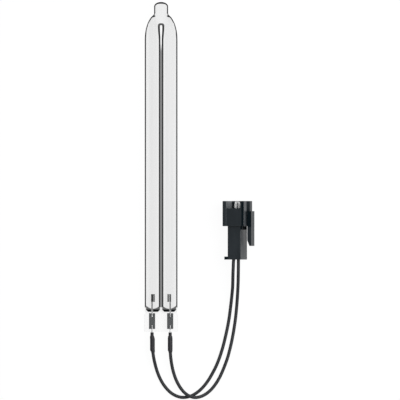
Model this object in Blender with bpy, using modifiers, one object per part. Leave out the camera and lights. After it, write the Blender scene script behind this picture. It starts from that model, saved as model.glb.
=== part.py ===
"""UV-C germicidal lamp: a U-shaped quartz tube with cup cathodes and foil seals, whose two
wires end in a two-way latching connector.

The lamp lies on a flat surface at z = 0. Its tube runs along Y with the exhaust nipple
towards +Y, and its two legs lie side by side along X. The origin is below the middle of the
lamp, measured from the nipple's tip to the ends of the shrink sleeves. Sizes are in metres.
"""
import math

import bmesh
import bpy
from mathutils import Matrix, Vector

MM = 0.001

# Clearances between pieces
WELD_GAP = 0.05 * MM
FIT_GAP = 0.10 * MM
FACE_GAP = 0.30 * MM

# Quartz tube
LEG_RADIUS = 3.50 * MM
LEG_OVERLAP = 0.10 * MM
LEG_WALL = 0.90 * MM
GROOVE_RADIUS = 0.80 * MM
STRAIGHT_LENGTH = 113.0 * MM

# Exhaust nipple and shoulders at the tube's upper end
NIPPLE_RADIUS = 2.98 * MM
NIPPLE_DOME = 1.90 * MM
NIPPLE_LENGTH = 4.90 * MM
FLARE_LENGTH = 1.70 * MM
SHOULDER_LENGTH = 12.30 * MM
SHOULDER_START = 11.46 * MM
SHOULDER_SQUARENESS = 2.3

# Teardrop gap between the legs, under the crown
GAP_HALF_WIDTH = 0.50 * MM
GAP_TIP_HALF_WIDTH = 0.06 * MM
GAP_LENGTH = 9.9 * MM
GAP_HEAD = 0.8 * MM
CROWN_BRIDGE = 0.75 * MM
CROWN_DEPTH = 5.0 * MM
CROTCH_SHARE = 0.08

# Closed leg ends and pinch seal
LEG_CLOSE_LENGTH = 2.9 * MM
BORE_END_LENGTH = 1.7 * MM
BORE_END_SHARE = 0.80
SEAL_LENGTH = 7.85 * MM
SEAL_HALF_WIDTH = 7.20 * MM
SEAL_HALF_THICKNESS = 1.20 * MM
SEAL_EDGE_ROUND = 0.35 * MM

# Leads, foils and cathodes
LEAD_SPACING = 7.70 * MM
LEAD_RADIUS = 0.25 * MM
FOIL_WIDTH = 2.60 * MM
FOIL_LENGTH = 6.70 * MM
FOIL_THICKNESS = 0.05 * MM
FOIL_FROM_SEAL_END = 1.15 * MM
WELD_OVERLAP = 1.60 * MM
CATHODE_RADIUS = 0.80 * MM
CATHODE_WALL = 0.15 * MM
CATHODE_LENGTH = 3.30 * MM
CATHODE_ABOVE_BORE_END = 3.60 * MM
CATHODE_OFFSET = 0.40 * MM

# Sleeves and splices between the leads and the wires
LEAD_SLEEVE_RADIUS = 0.70 * MM
LEAD_SLEEVE_LENGTH = 2.75 * MM
SLEEVE_OVERLAP = 1.00 * MM
SHRINK_RADIUS = 1.00 * MM
SHRINK_END_RADIUS = 0.92 * MM
SHRINK_BORE = 0.80 * MM
SHRINK_LENGTH = 6.80 * MM
SHRINK_TAPER = 0.30 * MM
SPLICE_RADIUS = 0.62 * MM
SPLICE_LENGTH = 2.60 * MM
CONDUCTOR_RADIUS = 0.30 * MM
CONDUCTOR_STUB = 1.70 * MM

# Wires
WIRE_RADIUS = 0.70 * MM
WIRE_POINT_STEP = 2.8 * MM
WIRE_STRAIGHT_SLEEVE = 0.42 * MM
WIRE_STRAIGHT_PLUG = 1.60 * MM

# Connector, in its own frame: x from the back wall to the latch, y from the wire end to the
# mouth, z from the far side to the near side, with the wire end's centre as its origin
PLUG_X = 32.4 * MM
PLUG_Y = -35.0 * MM
PLUG_ROLL = math.radians(21.0)
BODY_HALF_X = 3.025 * MM
BODY_HALF_Z = 3.80 * MM
BODY_LENGTH = 14.2 * MM
HOOD_HALF_X = 4.925 * MM
HOOD_HALF_Z = 4.90 * MM
HOOD_LENGTH = 10.7 * MM
HOOD_ROUND = 0.20 * MM
BODY_ROUND = 0.25 * MM
FLANGE_DEPTH = 1.55 * MM
FLANGE_LENGTH = 1.30 * MM
MOUTH_HALF_X = 3.25 * MM
MOUTH_HALF_Z = 3.80 * MM
MOUTH_DEPTH = 9.50 * MM
NOTCH_DEPTH = 3.10 * MM
LATCH_SLOT_HALF = 1.90 * MM
LATCH_SLOT_LENGTH = 6.80 * MM
POCKET_HALF_Z = 2.10 * MM
POCKET_LENGTH = 1.50 * MM
POCKET_DEPTH = 0.90 * MM
PIN_PITCH = 2.50 * MM
CHANNEL_HALF_X = 1.85 * MM
CHANNEL_HALF_Z = 1.08 * MM
THROAT_HALF = 0.75 * MM
THROAT_LENGTH = 2.0 * MM

# Latch lever
LEVER_HALF_Z = 1.95 * MM
LEVER_THICKNESS = 1.77 * MM
LEVER_LIFT = 0.325 * MM
LEVER_TAIL_Y = 5.80 * MM
LEVER_NOSE_Y = 20.60 * MM
LEVER_TAIL_TAPER = 2.40 * MM
LEVER_TAIL_THICKNESS = 0.80 * MM
LEVER_ROUND = 0.12 * MM
PIVOT_Y = 15.8 * MM
HOOK_LENGTH = 1.80 * MM
HOOK_REACH = 0.75 * MM
HOOK_SIDE_GAP = 0.30 * MM

# Terminals
BARREL_WALL = 0.20 * MM
BARREL_START = 4.40 * MM
BARREL_LENGTH = 2.00 * MM
CRIMP_RADIUS = 0.62 * MM
CRIMP_LENGTH = 3.00 * MM
SPRING_BOX_HALF = 0.95 * MM
PIN_HALF_WIDTH = 0.62 * MM
PIN_HALF_THICKNESS = 0.40 * MM
PIN_BELOW_MOUTH = 0.20 * MM
PIN_TIP_LENGTH = 0.80 * MM
PIN_TIP_SHARE = 0.55
TERMINAL_NECK = 0.60 * MM

# Smoothness of the round forms
ARC_STEPS = 12
GROOVE_STEPS = 4
BORE_SEGMENTS = 28
ROD_SEGMENTS = 16
TUBE_SEGMENTS = 24
CURVE_STEPS = 12
BOSS_STEPS = 8
SLOPE_STEP = 0.01 * MM
SHARP_ANGLE = 40.0
GLASS_SHARP_ANGLE = 60.0
MERGE_DISTANCE = 0.001 * MM

# Where the sections of the tube stand, as angles on the dome and shares of each stretch
DOME_ANGLES = (14, 30, 48, 68, 90)
HOLLOW_DOME_ANGLES = (20, 45, 70)
FLARE_SHARES = (0.0, 0.25, 0.5, 0.75, 1.0)
CROWN_SHARES = (0.5, 1.0)
CROTCH_SHARES = (0.3, 0.5, 0.7, 0.85)
FORK_SHARES = (0.15, 0.24, 0.36, 0.5, 0.66, 0.82, 0.99)
BORE_SHARES = (0.0, 0.06, 0.14, 0.3, 0.5, 0.75)
GAP_OUTLINE_SHARES = (0.0, 0.006, 0.022, 0.05, 0.08, 0.144, 0.25, 0.4, 0.55, 0.7, 0.85, 0.97)
CLOSING_SHARES = (0.3, 0.55, 0.75, 0.9)
ROUND_SQUARENESS = 2.0

# Lengths along the lamp, from the nipple's tip
SPRING_LINE = NIPPLE_LENGTH + SHOULDER_START
LEG_END = SPRING_LINE + STRAIGHT_LENGTH
BORE_END = LEG_END + BORE_END_LENGTH
SEAL_START = LEG_END + LEG_CLOSE_LENGTH
SEAL_END = SEAL_START + SEAL_LENGTH
FOIL_END = SEAL_END - FOIL_FROM_SEAL_END
FOIL_START = FOIL_END - FOIL_LENGTH
LEAD_SLEEVE_START = SEAL_END + FACE_GAP
LEAD_SLEEVE_END = LEAD_SLEEVE_START + LEAD_SLEEVE_LENGTH
SHRINK_START = LEAD_SLEEVE_END - SLEEVE_OVERLAP
SHRINK_END = SHRINK_START + SHRINK_LENGTH
SPLICE_START = LEAD_SLEEVE_END + FACE_GAP
SPLICE_END = SPLICE_START + SPLICE_LENGTH
LEAD_END = (SPLICE_START + SPLICE_END) / 2 - FIT_GAP / 2
CONDUCTOR_START = LEAD_END + FIT_GAP
CONDUCTOR_END = CONDUCTOR_START + CONDUCTOR_STUB
WIRE_START = CONDUCTOR_END + FACE_GAP
FLARE_END = NIPPLE_LENGTH + FLARE_LENGTH
CROWN_END = NIPPLE_LENGTH + CROWN_DEPTH - CROWN_BRIDGE
GAP_TOP = NIPPLE_LENGTH + CROWN_DEPTH
GAP_BOTTOM = GAP_TOP + GAP_LENGTH
CATHODE_END = BORE_END - CATHODE_ABOVE_BORE_END

# Heights and half widths
LAMP_TOP_Y = SHRINK_END / 2
AXIS_Z = LEG_RADIUS
TUBE_HALF_WIDTH = 2 * LEG_RADIUS - LEG_OVERLAP / 2
FUSED_EDGE = -LEG_OVERLAP / 2
LEAD_X = LEAD_SPACING / 2
FOIL_Z = AXIS_Z - LEAD_RADIUS - WELD_GAP - FOIL_THICKNESS / 2
CATHODE_X = LEAD_X - CATHODE_OFFSET
CHANNEL_RADIUS = LEAD_RADIUS + FIT_GAP

# Connector lengths worked out from its pieces
PLUG_LENGTH = BODY_LENGTH + HOOD_LENGTH
PLUG_Z = HOOD_HALF_X * math.sin(PLUG_ROLL) + HOOD_HALF_Z * math.cos(PLUG_ROLL)
PARTITION_Y = PLUG_LENGTH - MOUTH_DEPTH
LEVER_INNER_X = HOOD_HALF_X + LEVER_LIFT
LEVER_OUTER_X = LEVER_INNER_X + LEVER_THICKNESS
PIVOT_BOSS_RADIUS = LEVER_LIFT - FIT_GAP

# Free routes of the wires, in millimetres: down to the surface after the shrink sleeves, one
# over the other at the bottom of the loop, and up to the plug
WIRE_LEFT_ROUTE = [
    (-3.38, -76.60, 3.22),
    (-2.72, -78.90, 2.40),
    (-1.81, -82.10, 1.40),
    (-0.46, -85.50, 0.85),
    (1.59, -88.90, 0.72),
    (4.65, -92.10, 0.72),
    (8.40, -93.65, 0.72),
    (12.30, -93.10, 0.72),
    (15.70, -91.10, 0.72),
    (19.10, -87.50, 0.72),
    (22.50, -81.75, 0.72),
    (25.90, -72.60, 0.72),
    (27.70, -66.00, 0.73),
    (28.75, -60.90, 0.82),
    (29.45, -55.80, 1.40),
    (30.00, -51.00, 2.75),
    (30.40, -46.50, 4.60),
    (30.52, -42.00, 6.30),
    (30.65, -38.40, 7.18),
    (30.85, -35.00, 7.40),
    (31.35, -33.35, 7.46),
]
WIRE_RIGHT_ROUTE = [
    (4.08, -76.70, 3.28),
    (4.51, -79.60, 2.55),
    (5.29, -83.00, 1.90),
    (6.51, -86.40, 1.75),
    (8.44, -89.80, 2.05),
    (10.40, -91.95, 2.34),
    (12.30, -93.10, 2.42),
    (14.40, -93.65, 2.36),
    (17.40, -93.00, 1.85),
    (20.80, -90.60, 1.05),
    (24.20, -86.00, 0.73),
    (27.60, -78.00, 0.72),
    (30.40, -67.70, 0.72),
    (31.50, -60.90, 0.80),
    (32.05, -55.80, 1.20),
    (32.45, -50.50, 2.25),
    (32.72, -45.00, 3.80),
    (32.82, -40.00, 4.85),
    (32.85, -36.50, 5.14),
]


def make_collection(name):
    """A collection linked into the scene."""
    collection = bpy.data.collections.new(name)
    bpy.context.scene.collection.children.link(collection)
    return collection


def make_material(name, colour, roughness, metallic=0.0):
    """A plain Principled material."""
    material = bpy.data.materials.new(name)
    material.use_nodes = True
    shader = material.node_tree.nodes["Principled BSDF"]
    shader.inputs["Base Color"].default_value = (*colour, 1.0)
    shader.inputs["Roughness"].default_value = roughness
    shader.inputs["Metallic"].default_value = metallic
    material.diffuse_color = (*colour, 1.0)
    return material


def add_object(name, mesh, collection, material=None, parent=None):
    """Wrap a mesh in an object of a collection."""
    obj = bpy.data.objects.new(name, mesh)
    collection.objects.link(obj)
    if material:
        mesh.materials.clear()
        mesh.materials.append(material)
    obj.parent = parent
    return obj


def add_cutter(name, mesh, parent=None):
    """A tool body that the build and the render leave out."""
    cutter = add_object(name, mesh, CUTTERS, parent=parent)
    cutter.hide_render = True
    cutter.display_type = "WIRE"
    return cutter


def add_boolean(obj, cutter, operation="DIFFERENCE"):
    """Cut or join with the exact solver."""
    modifier = obj.modifiers.new(cutter.name, "BOOLEAN")
    modifier.operation = operation
    modifier.solver = "EXACT"
    modifier.object = cutter


def add_bevel(obj, width, segments=2, angle=SHARP_ANGLE):
    """Round the edges that are sharper than the angle."""
    modifier = obj.modifiers.new("edge round", "BEVEL")
    modifier.width = width
    modifier.segments = segments
    modifier.limit_method = "ANGLE"
    modifier.angle_limit = math.radians(angle)


def shade_round(mesh, angle=SHARP_ANGLE):
    """Smooth shading, with edges kept sharp past the angle."""
    mesh.shade_smooth()
    mesh.set_sharp_from_angle(angle=math.radians(angle))


def finish_bmesh(bm, name):
    """Turn a bmesh into a mesh whose faces point out."""
    bmesh.ops.recalc_face_normals(bm, faces=bm.faces)
    mesh = bpy.data.meshes.new(name)
    bm.to_mesh(mesh)
    bm.free()
    return mesh


def box_mesh(name, low, high):
    """A box between two corners."""
    bm = bmesh.new()
    bmesh.ops.create_cube(bm, size=1.0)
    size = [h - l for l, h in zip(low, high)]
    middle = [(h + l) / 2 for l, h in zip(low, high)]
    bmesh.ops.scale(bm, vec=size, verts=bm.verts)
    bmesh.ops.translate(bm, vec=middle, verts=bm.verts)
    return finish_bmesh(bm, name)


def rod_mesh(name, radius, start, end, segments=ROD_SEGMENTS, tip_radius=None):
    """A rod or cone along Y, from start to end."""
    bm = bmesh.new()
    bmesh.ops.create_cone(
        bm,
        cap_ends=True,
        segments=segments,
        radius1=radius,
        radius2=radius if tip_radius is None else tip_radius,
        depth=end - start,
    )
    bmesh.ops.rotate(bm, matrix=Matrix.Rotation(math.radians(-90), 3, "X"), verts=bm.verts)
    bmesh.ops.translate(bm, vec=(0, (start + end) / 2, 0), verts=bm.verts)
    mesh = finish_bmesh(bm, name)
    shade_round(mesh)
    return mesh


def turned_object(name, profile, material, closed=True, parent=None):
    """A body turned round Y from (radius, y) points: a ring, or a profile from axis to axis."""
    bm = bmesh.new()
    points = [bm.verts.new((radius, 0, y)) for radius, y in profile]
    ends = points[1:] + points[:1] if closed else points[1:]
    for first, second in zip(points, ends):
        bm.edges.new((first, second))
    mesh = bpy.data.meshes.new(name)
    bm.to_mesh(mesh)
    bm.free()
    obj = add_object(name, mesh, PARTS, material, parent)
    obj.rotation_euler = (math.radians(-90), 0, 0)
    screw = obj.modifiers.new("turning", "SCREW")
    screw.steps = TUBE_SEGMENTS
    screw.render_steps = TUBE_SEGMENTS
    screw.use_merge_vertices = True
    screw.merge_threshold = MERGE_DISTANCE
    screw.use_smooth_shade = True
    return obj


def outline_mesh(name, points, low_z, high_z):
    """A flat outline in x and y, filled and extruded along z, as a closed mesh."""
    curve = bpy.data.curves.new(name, "CURVE")
    curve.dimensions = "2D"
    curve.fill_mode = "BOTH"
    curve.extrude = (high_z - low_z) / 2
    spline = curve.splines.new("POLY")
    spline.points.add(len(points) - 1)
    for point, (x, y) in zip(spline.points, points):
        point.co = (x, y, 0, 1)
    spline.use_cyclic_u = True
    holder = bpy.data.objects.new(name, curve)
    bpy.context.scene.collection.objects.link(holder)
    bpy.context.view_layer.update()
    depsgraph = bpy.context.evaluated_depsgraph_get()
    mesh = bpy.data.meshes.new_from_object(holder.evaluated_get(depsgraph))
    bpy.data.objects.remove(holder)
    bm = bmesh.new()
    bm.from_mesh(mesh)
    bmesh.ops.remove_doubles(bm, verts=bm.verts, dist=MERGE_DISTANCE)
    bmesh.ops.translate(bm, vec=(0, 0, (low_z + high_z) / 2), verts=bm.verts)
    bmesh.ops.recalc_face_normals(bm, faces=bm.faces)
    bm.to_mesh(mesh)
    bm.free()
    mesh.name = name
    return mesh


def loft_mesh(name, rings, tip=None):
    """A closed skin over rings with equal point counts, with an optional pointed start."""
    bm = bmesh.new()
    rows = [[bm.verts.new(point) for point in ring] for ring in rings]
    count = len(rows[0])
    for low, high in zip(rows, rows[1:]):
        for i in range(count):
            j = (i + 1) % count
            bm.faces.new((low[i], low[j], high[j], high[i]))
    if tip:
        apex = bm.verts.new(tip)
        for i in range(count):
            bm.faces.new((rows[0][i], rows[0][(i + 1) % count], apex))
    else:
        bm.faces.new(rows[0])
    bm.faces.new(rows[-1])
    return finish_bmesh(bm, name)


def station(distance):
    """World Y of a distance behind the nipple's tip."""
    return LAMP_TOP_Y - distance


def smooth_step(value):
    """Ease from 0 to 1."""
    value = min(max(value, 0.0), 1.0)
    return value * value * (3 - 2 * value)


def shoulder_half_width(distance):
    """Half width of the elliptical shoulder at a distance behind the tip."""
    share = min(max((SPRING_LINE - distance) / SHOULDER_LENGTH, 0.0), 1.0)
    return TUBE_HALF_WIDTH * math.sqrt(1 - share * share)


def tube_half_width(distance):
    """Outer half width of the tube along X, from the nipple's tip to the leg ends."""
    if distance < NIPPLE_DOME:
        share = 1 - distance / NIPPLE_DOME
        return NIPPLE_RADIUS * math.sqrt(max(1 - share * share, 0.0))
    if distance <= NIPPLE_LENGTH:
        return NIPPLE_RADIUS
    if distance >= FLARE_END:
        return shoulder_half_width(distance)
    end = shoulder_half_width(FLARE_END)
    slope = (shoulder_half_width(FLARE_END + SLOPE_STEP) - end) / SLOPE_STEP
    t = (distance - NIPPLE_LENGTH) / FLARE_LENGTH
    rise = t * t * (3 - 2 * t)
    lean = t * t * (t - 1)
    return NIPPLE_RADIUS + (end - NIPPLE_RADIUS) * rise + slope * FLARE_LENGTH * lean


def tube_half_height(distance):
    """Outer half height of the tube along Z."""
    if distance <= NIPPLE_LENGTH:
        return tube_half_width(distance)
    share = (distance - NIPPLE_LENGTH) / (GAP_TOP + GAP_HEAD - NIPPLE_LENGTH)
    return NIPPLE_RADIUS + (LEG_RADIUS - NIPPLE_RADIUS) * smooth_step(share)


def gap_half_width(distance):
    """Half width of the teardrop gap between the legs."""
    along = distance - GAP_TOP
    if along <= 0 or along >= GAP_LENGTH:
        return 0.0
    if along < GAP_HEAD:
        share = 1 - along / GAP_HEAD
        return GAP_HALF_WIDTH * math.sqrt(1 - share * share)
    share = (along - GAP_HEAD) / (GAP_LENGTH - GAP_HEAD)
    return GAP_HALF_WIDTH + (GAP_TIP_HALF_WIDTH - GAP_HALF_WIDTH) * smooth_step(share)


def leg_inner_edge(distance):
    """X of the leg's inner flank: past the middle where the legs are fused."""
    along = (distance - GAP_TOP) / GAP_LENGTH
    if along < 0 or along > 1:
        return FUSED_EDGE
    return gap_half_width(distance)


def whole_ring(quarter, distance):
    """Mirror a quarter outline, from the side to the top, into a ring round the lamp's axis."""
    top_left = [(-x, z) for x, z in reversed(quarter[:-1])]
    bottom_left = [(-x, -z) for x, z in quarter[1:]]
    bottom_right = [(x, -z) for x, z in reversed(quarter[1:-1])]
    outline = quarter + top_left + bottom_left + bottom_right
    return [(x, station(distance), AXIS_Z + z) for x, z in outline]


def oval_quarter(half_width, half_height, squareness):
    """A quarter of a superellipse."""
    steps = ARC_STEPS + GROOVE_STEPS
    points = []
    for i in range(steps + 1):
        angle = math.radians(90) * i / steps
        x = half_width * math.cos(angle) ** (2 / squareness) if i < steps else 0.0
        z = half_height * math.sin(angle) ** (2 / squareness) if i > 0 else 0.0
        points.append((x, z))
    return points


def leg_quarter(half_width, half_height, inner_edge, groove):
    """A quarter of two fused legs: a round leg, then half of the groove between them."""
    leg_half = (half_width - inner_edge) / 2
    squash = leg_half / half_height
    centre = (half_width + inner_edge) / 2 / squash
    groove_height = math.sqrt((half_height + groove) ** 2 - centre ** 2)
    turn = math.atan2(groove_height, -centre)
    points = []
    for i in range(ARC_STEPS + 1):
        angle = turn * i / ARC_STEPS
        x = (centre + half_height * math.cos(angle)) * squash
        points.append((x, half_height * math.sin(angle)))
    first = math.atan2(-groove_height, centre)
    last = math.radians(-90)
    for i in range(1, GROOVE_STEPS + 1):
        angle = first + (last - first) * i / GROOVE_STEPS
        x = groove * math.cos(angle) * squash if i < GROOVE_STEPS else 0.0
        points.append((x, groove_height + groove * math.sin(angle)))
    return points


def slab_quarter(half_width, half_height):
    """A quarter of a flat slab with round sides, its points set out across as the legs' are."""
    flat = half_width - half_height
    points = []
    for x, z in leg_quarter(TUBE_HALF_WIDTH, LEG_RADIUS, FUSED_EDGE, GROOVE_RADIUS):
        across = half_width * x / TUBE_HALF_WIDTH
        past = max(across - flat, 0.0)
        points.append((across, math.sqrt(max(half_height ** 2 - past ** 2, 0.0))))
    return points


def blend_quarters(first, second, share):
    """A quarter outline part way from one to another."""
    pairs = zip(first, second)
    return [(xa + (xb - xa) * share, za + (zb - za) * share) for (xa, za), (xb, zb) in pairs]


def envelope_skin():
    """The outer form of the quartz, from the nipple's tip to the end of the seal."""
    rings = []
    for angle in DOME_ANGLES:
        distance = NIPPLE_DOME * (1 - math.cos(math.radians(angle)))
        half = tube_half_width(distance)
        rings.append(whole_ring(oval_quarter(half, half, ROUND_SQUARENESS), distance))
    for share in FLARE_SHARES:
        distance = NIPPLE_LENGTH + FLARE_LENGTH * share
        squareness = ROUND_SQUARENESS + (SHOULDER_SQUARENESS - ROUND_SQUARENESS) * share
        half = tube_half_width(distance)
        rings.append(whole_ring(oval_quarter(half, tube_half_height(distance), squareness), distance))
    crotch_end = GAP_TOP + GAP_LENGTH * CROTCH_SHARE
    for share in CROWN_SHARES:
        distance = FLARE_END + (CROWN_END - FLARE_END) * share
        quarter = oval_quarter(tube_half_width(distance), tube_half_height(distance), SHOULDER_SQUARENESS)
        rings.append(whole_ring(quarter, distance))
    for share in CROTCH_SHARES:
        distance = CROWN_END + (crotch_end - CROWN_END) * share
        half_width = tube_half_width(distance)
        half_height = tube_half_height(distance)
        oval = oval_quarter(half_width, half_height, SHOULDER_SQUARENESS)
        legs = leg_quarter(half_width, half_height, leg_inner_edge(crotch_end) * share, GROOVE_RADIUS)
        rings.append(whole_ring(blend_quarters(oval, legs, smooth_step(share)), distance))
    for share in (CROTCH_SHARE, *FORK_SHARES):
        distance = GAP_TOP + GAP_LENGTH * share
        half_width = tube_half_width(distance)
        half_height = tube_half_height(distance)
        legs = leg_quarter(half_width, half_height, leg_inner_edge(distance), GROOVE_RADIUS)
        rings.append(whole_ring(legs, distance))
    legs = leg_quarter(TUBE_HALF_WIDTH, LEG_RADIUS, FUSED_EDGE, GROOVE_RADIUS)
    for distance in (GAP_BOTTOM + LEG_RADIUS, LEG_END):
        rings.append(whole_ring(legs, distance))
    shoulder = 2 * SEAL_EDGE_ROUND
    slab = slab_quarter(SEAL_HALF_WIDTH - shoulder, SEAL_HALF_THICKNESS)
    for share in CLOSING_SHARES:
        drop = 1 - math.sqrt(1 - share * share)
        rings.append(whole_ring(blend_quarters(legs, slab, drop), LEG_END + LEG_CLOSE_LENGTH * share))
    rings.append(whole_ring(slab, SEAL_START))
    rings.append(whole_ring(slab_quarter(SEAL_HALF_WIDTH, SEAL_HALF_THICKNESS), SEAL_START + shoulder))
    for angle in (0, 45, 90):
        inset = SEAL_EDGE_ROUND * (1 - math.cos(math.radians(angle)))
        back = SEAL_EDGE_ROUND * (1 - math.sin(math.radians(angle)))
        quarter = slab_quarter(SEAL_HALF_WIDTH - inset, SEAL_HALF_THICKNESS - inset)
        rings.append(whole_ring(quarter, SEAL_END - back))
    return loft_mesh("quartz_envelope", rings, tip=(0, station(0), AXIS_Z))


def crown_hollow():
    """The hollow inside the nipple and the crown, above both bores."""
    inner_radius = NIPPLE_RADIUS - LEG_WALL
    rings = []
    for angle in HOLLOW_DOME_ANGLES:
        turn = math.radians(angle)
        distance = NIPPLE_DOME - (NIPPLE_DOME - LEG_WALL) * math.cos(turn)
        half = inner_radius * math.sin(turn)
        rings.append(whole_ring(oval_quarter(half, half, ROUND_SQUARENESS), distance))
    flare_middle = NIPPLE_LENGTH + FLARE_LENGTH / 2
    crown_middle = (FLARE_END + CROWN_END) / 2
    for distance in (NIPPLE_DOME, NIPPLE_LENGTH, flare_middle, FLARE_END, crown_middle, CROWN_END):
        flared = smooth_step((distance - NIPPLE_LENGTH) / FLARE_LENGTH)
        squareness = ROUND_SQUARENESS + (SHOULDER_SQUARENESS - ROUND_SQUARENESS) * flared
        half_width = tube_half_width(distance) - LEG_WALL
        half_height = tube_half_height(distance) - LEG_WALL
        rings.append(whole_ring(oval_quarter(half_width, half_height, squareness), distance))
    return loft_mesh("crown_hollow", rings)


def leg_bore(side):
    """The bore of one leg, from inside the crown hollow down to its closed end."""
    places = [(CROWN_END - LEG_WALL / 2, BORE_END_SHARE)]
    places += [(GAP_TOP + GAP_LENGTH * share, 1.0) for share in BORE_SHARES]
    places += [(GAP_BOTTOM + LEG_RADIUS, 1.0), (LEG_END, 1.0), (BORE_END, BORE_END_SHARE)]
    rings = []
    for distance, size in places:
        straight = distance > GAP_BOTTOM
        half_width = TUBE_HALF_WIDTH if straight else tube_half_width(distance)
        half_height = LEG_RADIUS if straight else tube_half_height(distance)
        inner_edge = leg_inner_edge(distance)
        radius_x = ((half_width - inner_edge) / 2 - LEG_WALL) * size
        radius_z = (half_height - LEG_WALL) * size
        centre = side * (half_width + inner_edge) / 2
        ring = []
        for i in range(BORE_SEGMENTS):
            angle = math.tau * i / BORE_SEGMENTS
            x = centre + radius_x * math.cos(angle)
            ring.append((x, station(distance), AXIS_Z + radius_z * math.sin(angle)))
        rings.append(ring)
    return loft_mesh("leg_bore", rings)


def teardrop_gap():
    """The gap between the legs, cut right through from front to back."""
    right = []
    for share in GAP_OUTLINE_SHARES:
        distance = GAP_TOP + GAP_LENGTH * share
        right.append((gap_half_width(distance), station(distance)))
    bottom = (0.0, station(GAP_BOTTOM))
    left = [(-x, y) for x, y in reversed(right[1:])]
    outline = right + [bottom] + left
    return outline_mesh("teardrop_gap", outline, AXIS_Z - 2 * LEG_RADIUS, AXIS_Z + 2 * LEG_RADIUS)


def build_envelope():
    """The quartz body with its bores, teardrop gap, foil pockets and lead channels."""
    envelope = add_object("quartz_envelope", envelope_skin(), PARTS, QUARTZ)
    cutters = [("teardrop_gap", teardrop_gap()), ("crown_hollow", crown_hollow())]
    past_end = SEAL_END + 2 * FACE_GAP
    for side, word in SIDES:
        x = side * LEAD_X
        cutters.append((f"bore_{word}", leg_bore(side)))
        pocket_half = FOIL_THICKNESS / 2 + FIT_GAP
        pocket = box_mesh(
            "foil_pocket",
            (x - FOIL_WIDTH / 2 - FIT_GAP, station(FOIL_END + FIT_GAP), FOIL_Z - pocket_half),
            (x + FOIL_WIDTH / 2 + FIT_GAP, station(FOIL_START - FIT_GAP), FOIL_Z + pocket_half),
        )
        cutters.append((f"foil_pocket_{word}", pocket))
        inner = rod_mesh(
            "inner_channel",
            CHANNEL_RADIUS,
            station(FOIL_START + WELD_OVERLAP + FIT_GAP),
            station(BORE_END - LEG_WALL),
        )
        outer = rod_mesh(
            "outer_channel", CHANNEL_RADIUS, station(past_end), station(FOIL_END - WELD_OVERLAP - FIT_GAP)
        )
        for mesh in (inner, outer):
            mesh.transform(Matrix.Translation((x, 0, AXIS_Z)))
        cutters.append((f"inner_channel_{word}", inner))
        cutters.append((f"outer_channel_{word}", outer))
    for name, mesh in cutters:
        add_boolean(envelope, add_cutter(name, mesh))
    shade_round(envelope.data, GLASS_SHARP_ANGLE)


def build_seal_metal(side, word):
    """Cathode, leads and foil of one leg."""
    x = side * LEAD_X
    inner_wall = CATHODE_RADIUS - CATHODE_WALL
    cup = turned_object(
        f"cathode_{word}",
        [(0, CATHODE_WALL), (inner_wall, CATHODE_WALL), (inner_wall, CATHODE_LENGTH),
         (CATHODE_RADIUS, CATHODE_LENGTH), (CATHODE_RADIUS, 0), (0, 0)],
        NICKEL,
        closed=False,
    )
    cup.location = (side * CATHODE_X, station(CATHODE_END), AXIS_Z)
    leads = (
        (f"inner_lead_{word}", FOIL_START + WELD_OVERLAP, CATHODE_END + WELD_GAP),
        (f"outer_lead_{word}", LEAD_END, FOIL_END - WELD_OVERLAP),
    )
    for name, far_end, near_end in leads:
        rod = rod_mesh(name, LEAD_RADIUS, station(far_end) - station(near_end), 0.0)
        lead = add_object(name, rod, PARTS, LEAD_METAL)
        lead.location = (x, station(near_end), AXIS_Z)
    foil_half = (FOIL_WIDTH / 2, FOIL_LENGTH / 2, FOIL_THICKNESS / 2)
    foil = add_object(
        f"sealing_foil_{word}",
        box_mesh("sealing_foil", [-half for half in foil_half], foil_half),
        PARTS,
        FOIL_METAL,
    )
    foil.location = (x, station((FOIL_START + FOIL_END) / 2), FOIL_Z)


def build_sleeves(side, word):
    """Insulating sleeve, splice, bared wire end and shrink sleeve of one lead."""
    x = side * LEAD_X
    channel = LEAD_RADIUS + FIT_GAP
    sleeve = turned_object(
        f"lead_sleeve_{word}",
        [(channel, 0), (channel, LEAD_SLEEVE_LENGTH),
         (LEAD_SLEEVE_RADIUS, LEAD_SLEEVE_LENGTH), (LEAD_SLEEVE_RADIUS, 0)],
        SLEEVE_RUBBER,
    )
    sleeve.location = (x, station(LEAD_SLEEVE_END), AXIS_Z)
    splice_bore = CONDUCTOR_RADIUS + FIT_GAP
    splice = turned_object(
        f"splice_{word}",
        [(splice_bore, 0), (splice_bore, SPLICE_LENGTH),
         (SPLICE_RADIUS, SPLICE_LENGTH), (SPLICE_RADIUS, 0)],
        TIN_PLATE,
    )
    splice.location = (x, station(SPLICE_END), AXIS_Z)
    stub_mesh = rod_mesh(f"conductor_end_{word}", CONDUCTOR_RADIUS, 0.0, CONDUCTOR_STUB)
    stub = add_object(f"conductor_end_{word}", stub_mesh, PARTS, COPPER)
    stub.location = (x, station(CONDUCTOR_END), AXIS_Z)
    shrink = turned_object(
        f"shrink_sleeve_{word}",
        [(SHRINK_BORE, 0), (SHRINK_BORE, SHRINK_LENGTH), (SHRINK_END_RADIUS, SHRINK_LENGTH),
         (SHRINK_RADIUS, SHRINK_LENGTH - SHRINK_TAPER), (SHRINK_RADIUS, SHRINK_TAPER),
         (SHRINK_END_RADIUS, 0)],
        SHRINK_RUBBER,
    )
    shrink.location = (x, station(SHRINK_END), AXIS_Z)


def plug_point(x, y, z):
    """World place of a point in the connector's own frame."""
    roll = Matrix.Rotation(-PLUG_ROLL, 3, "Y")
    return Vector((PLUG_X, PLUG_Y, PLUG_Z)) + roll @ Vector((x, y, z))


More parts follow.
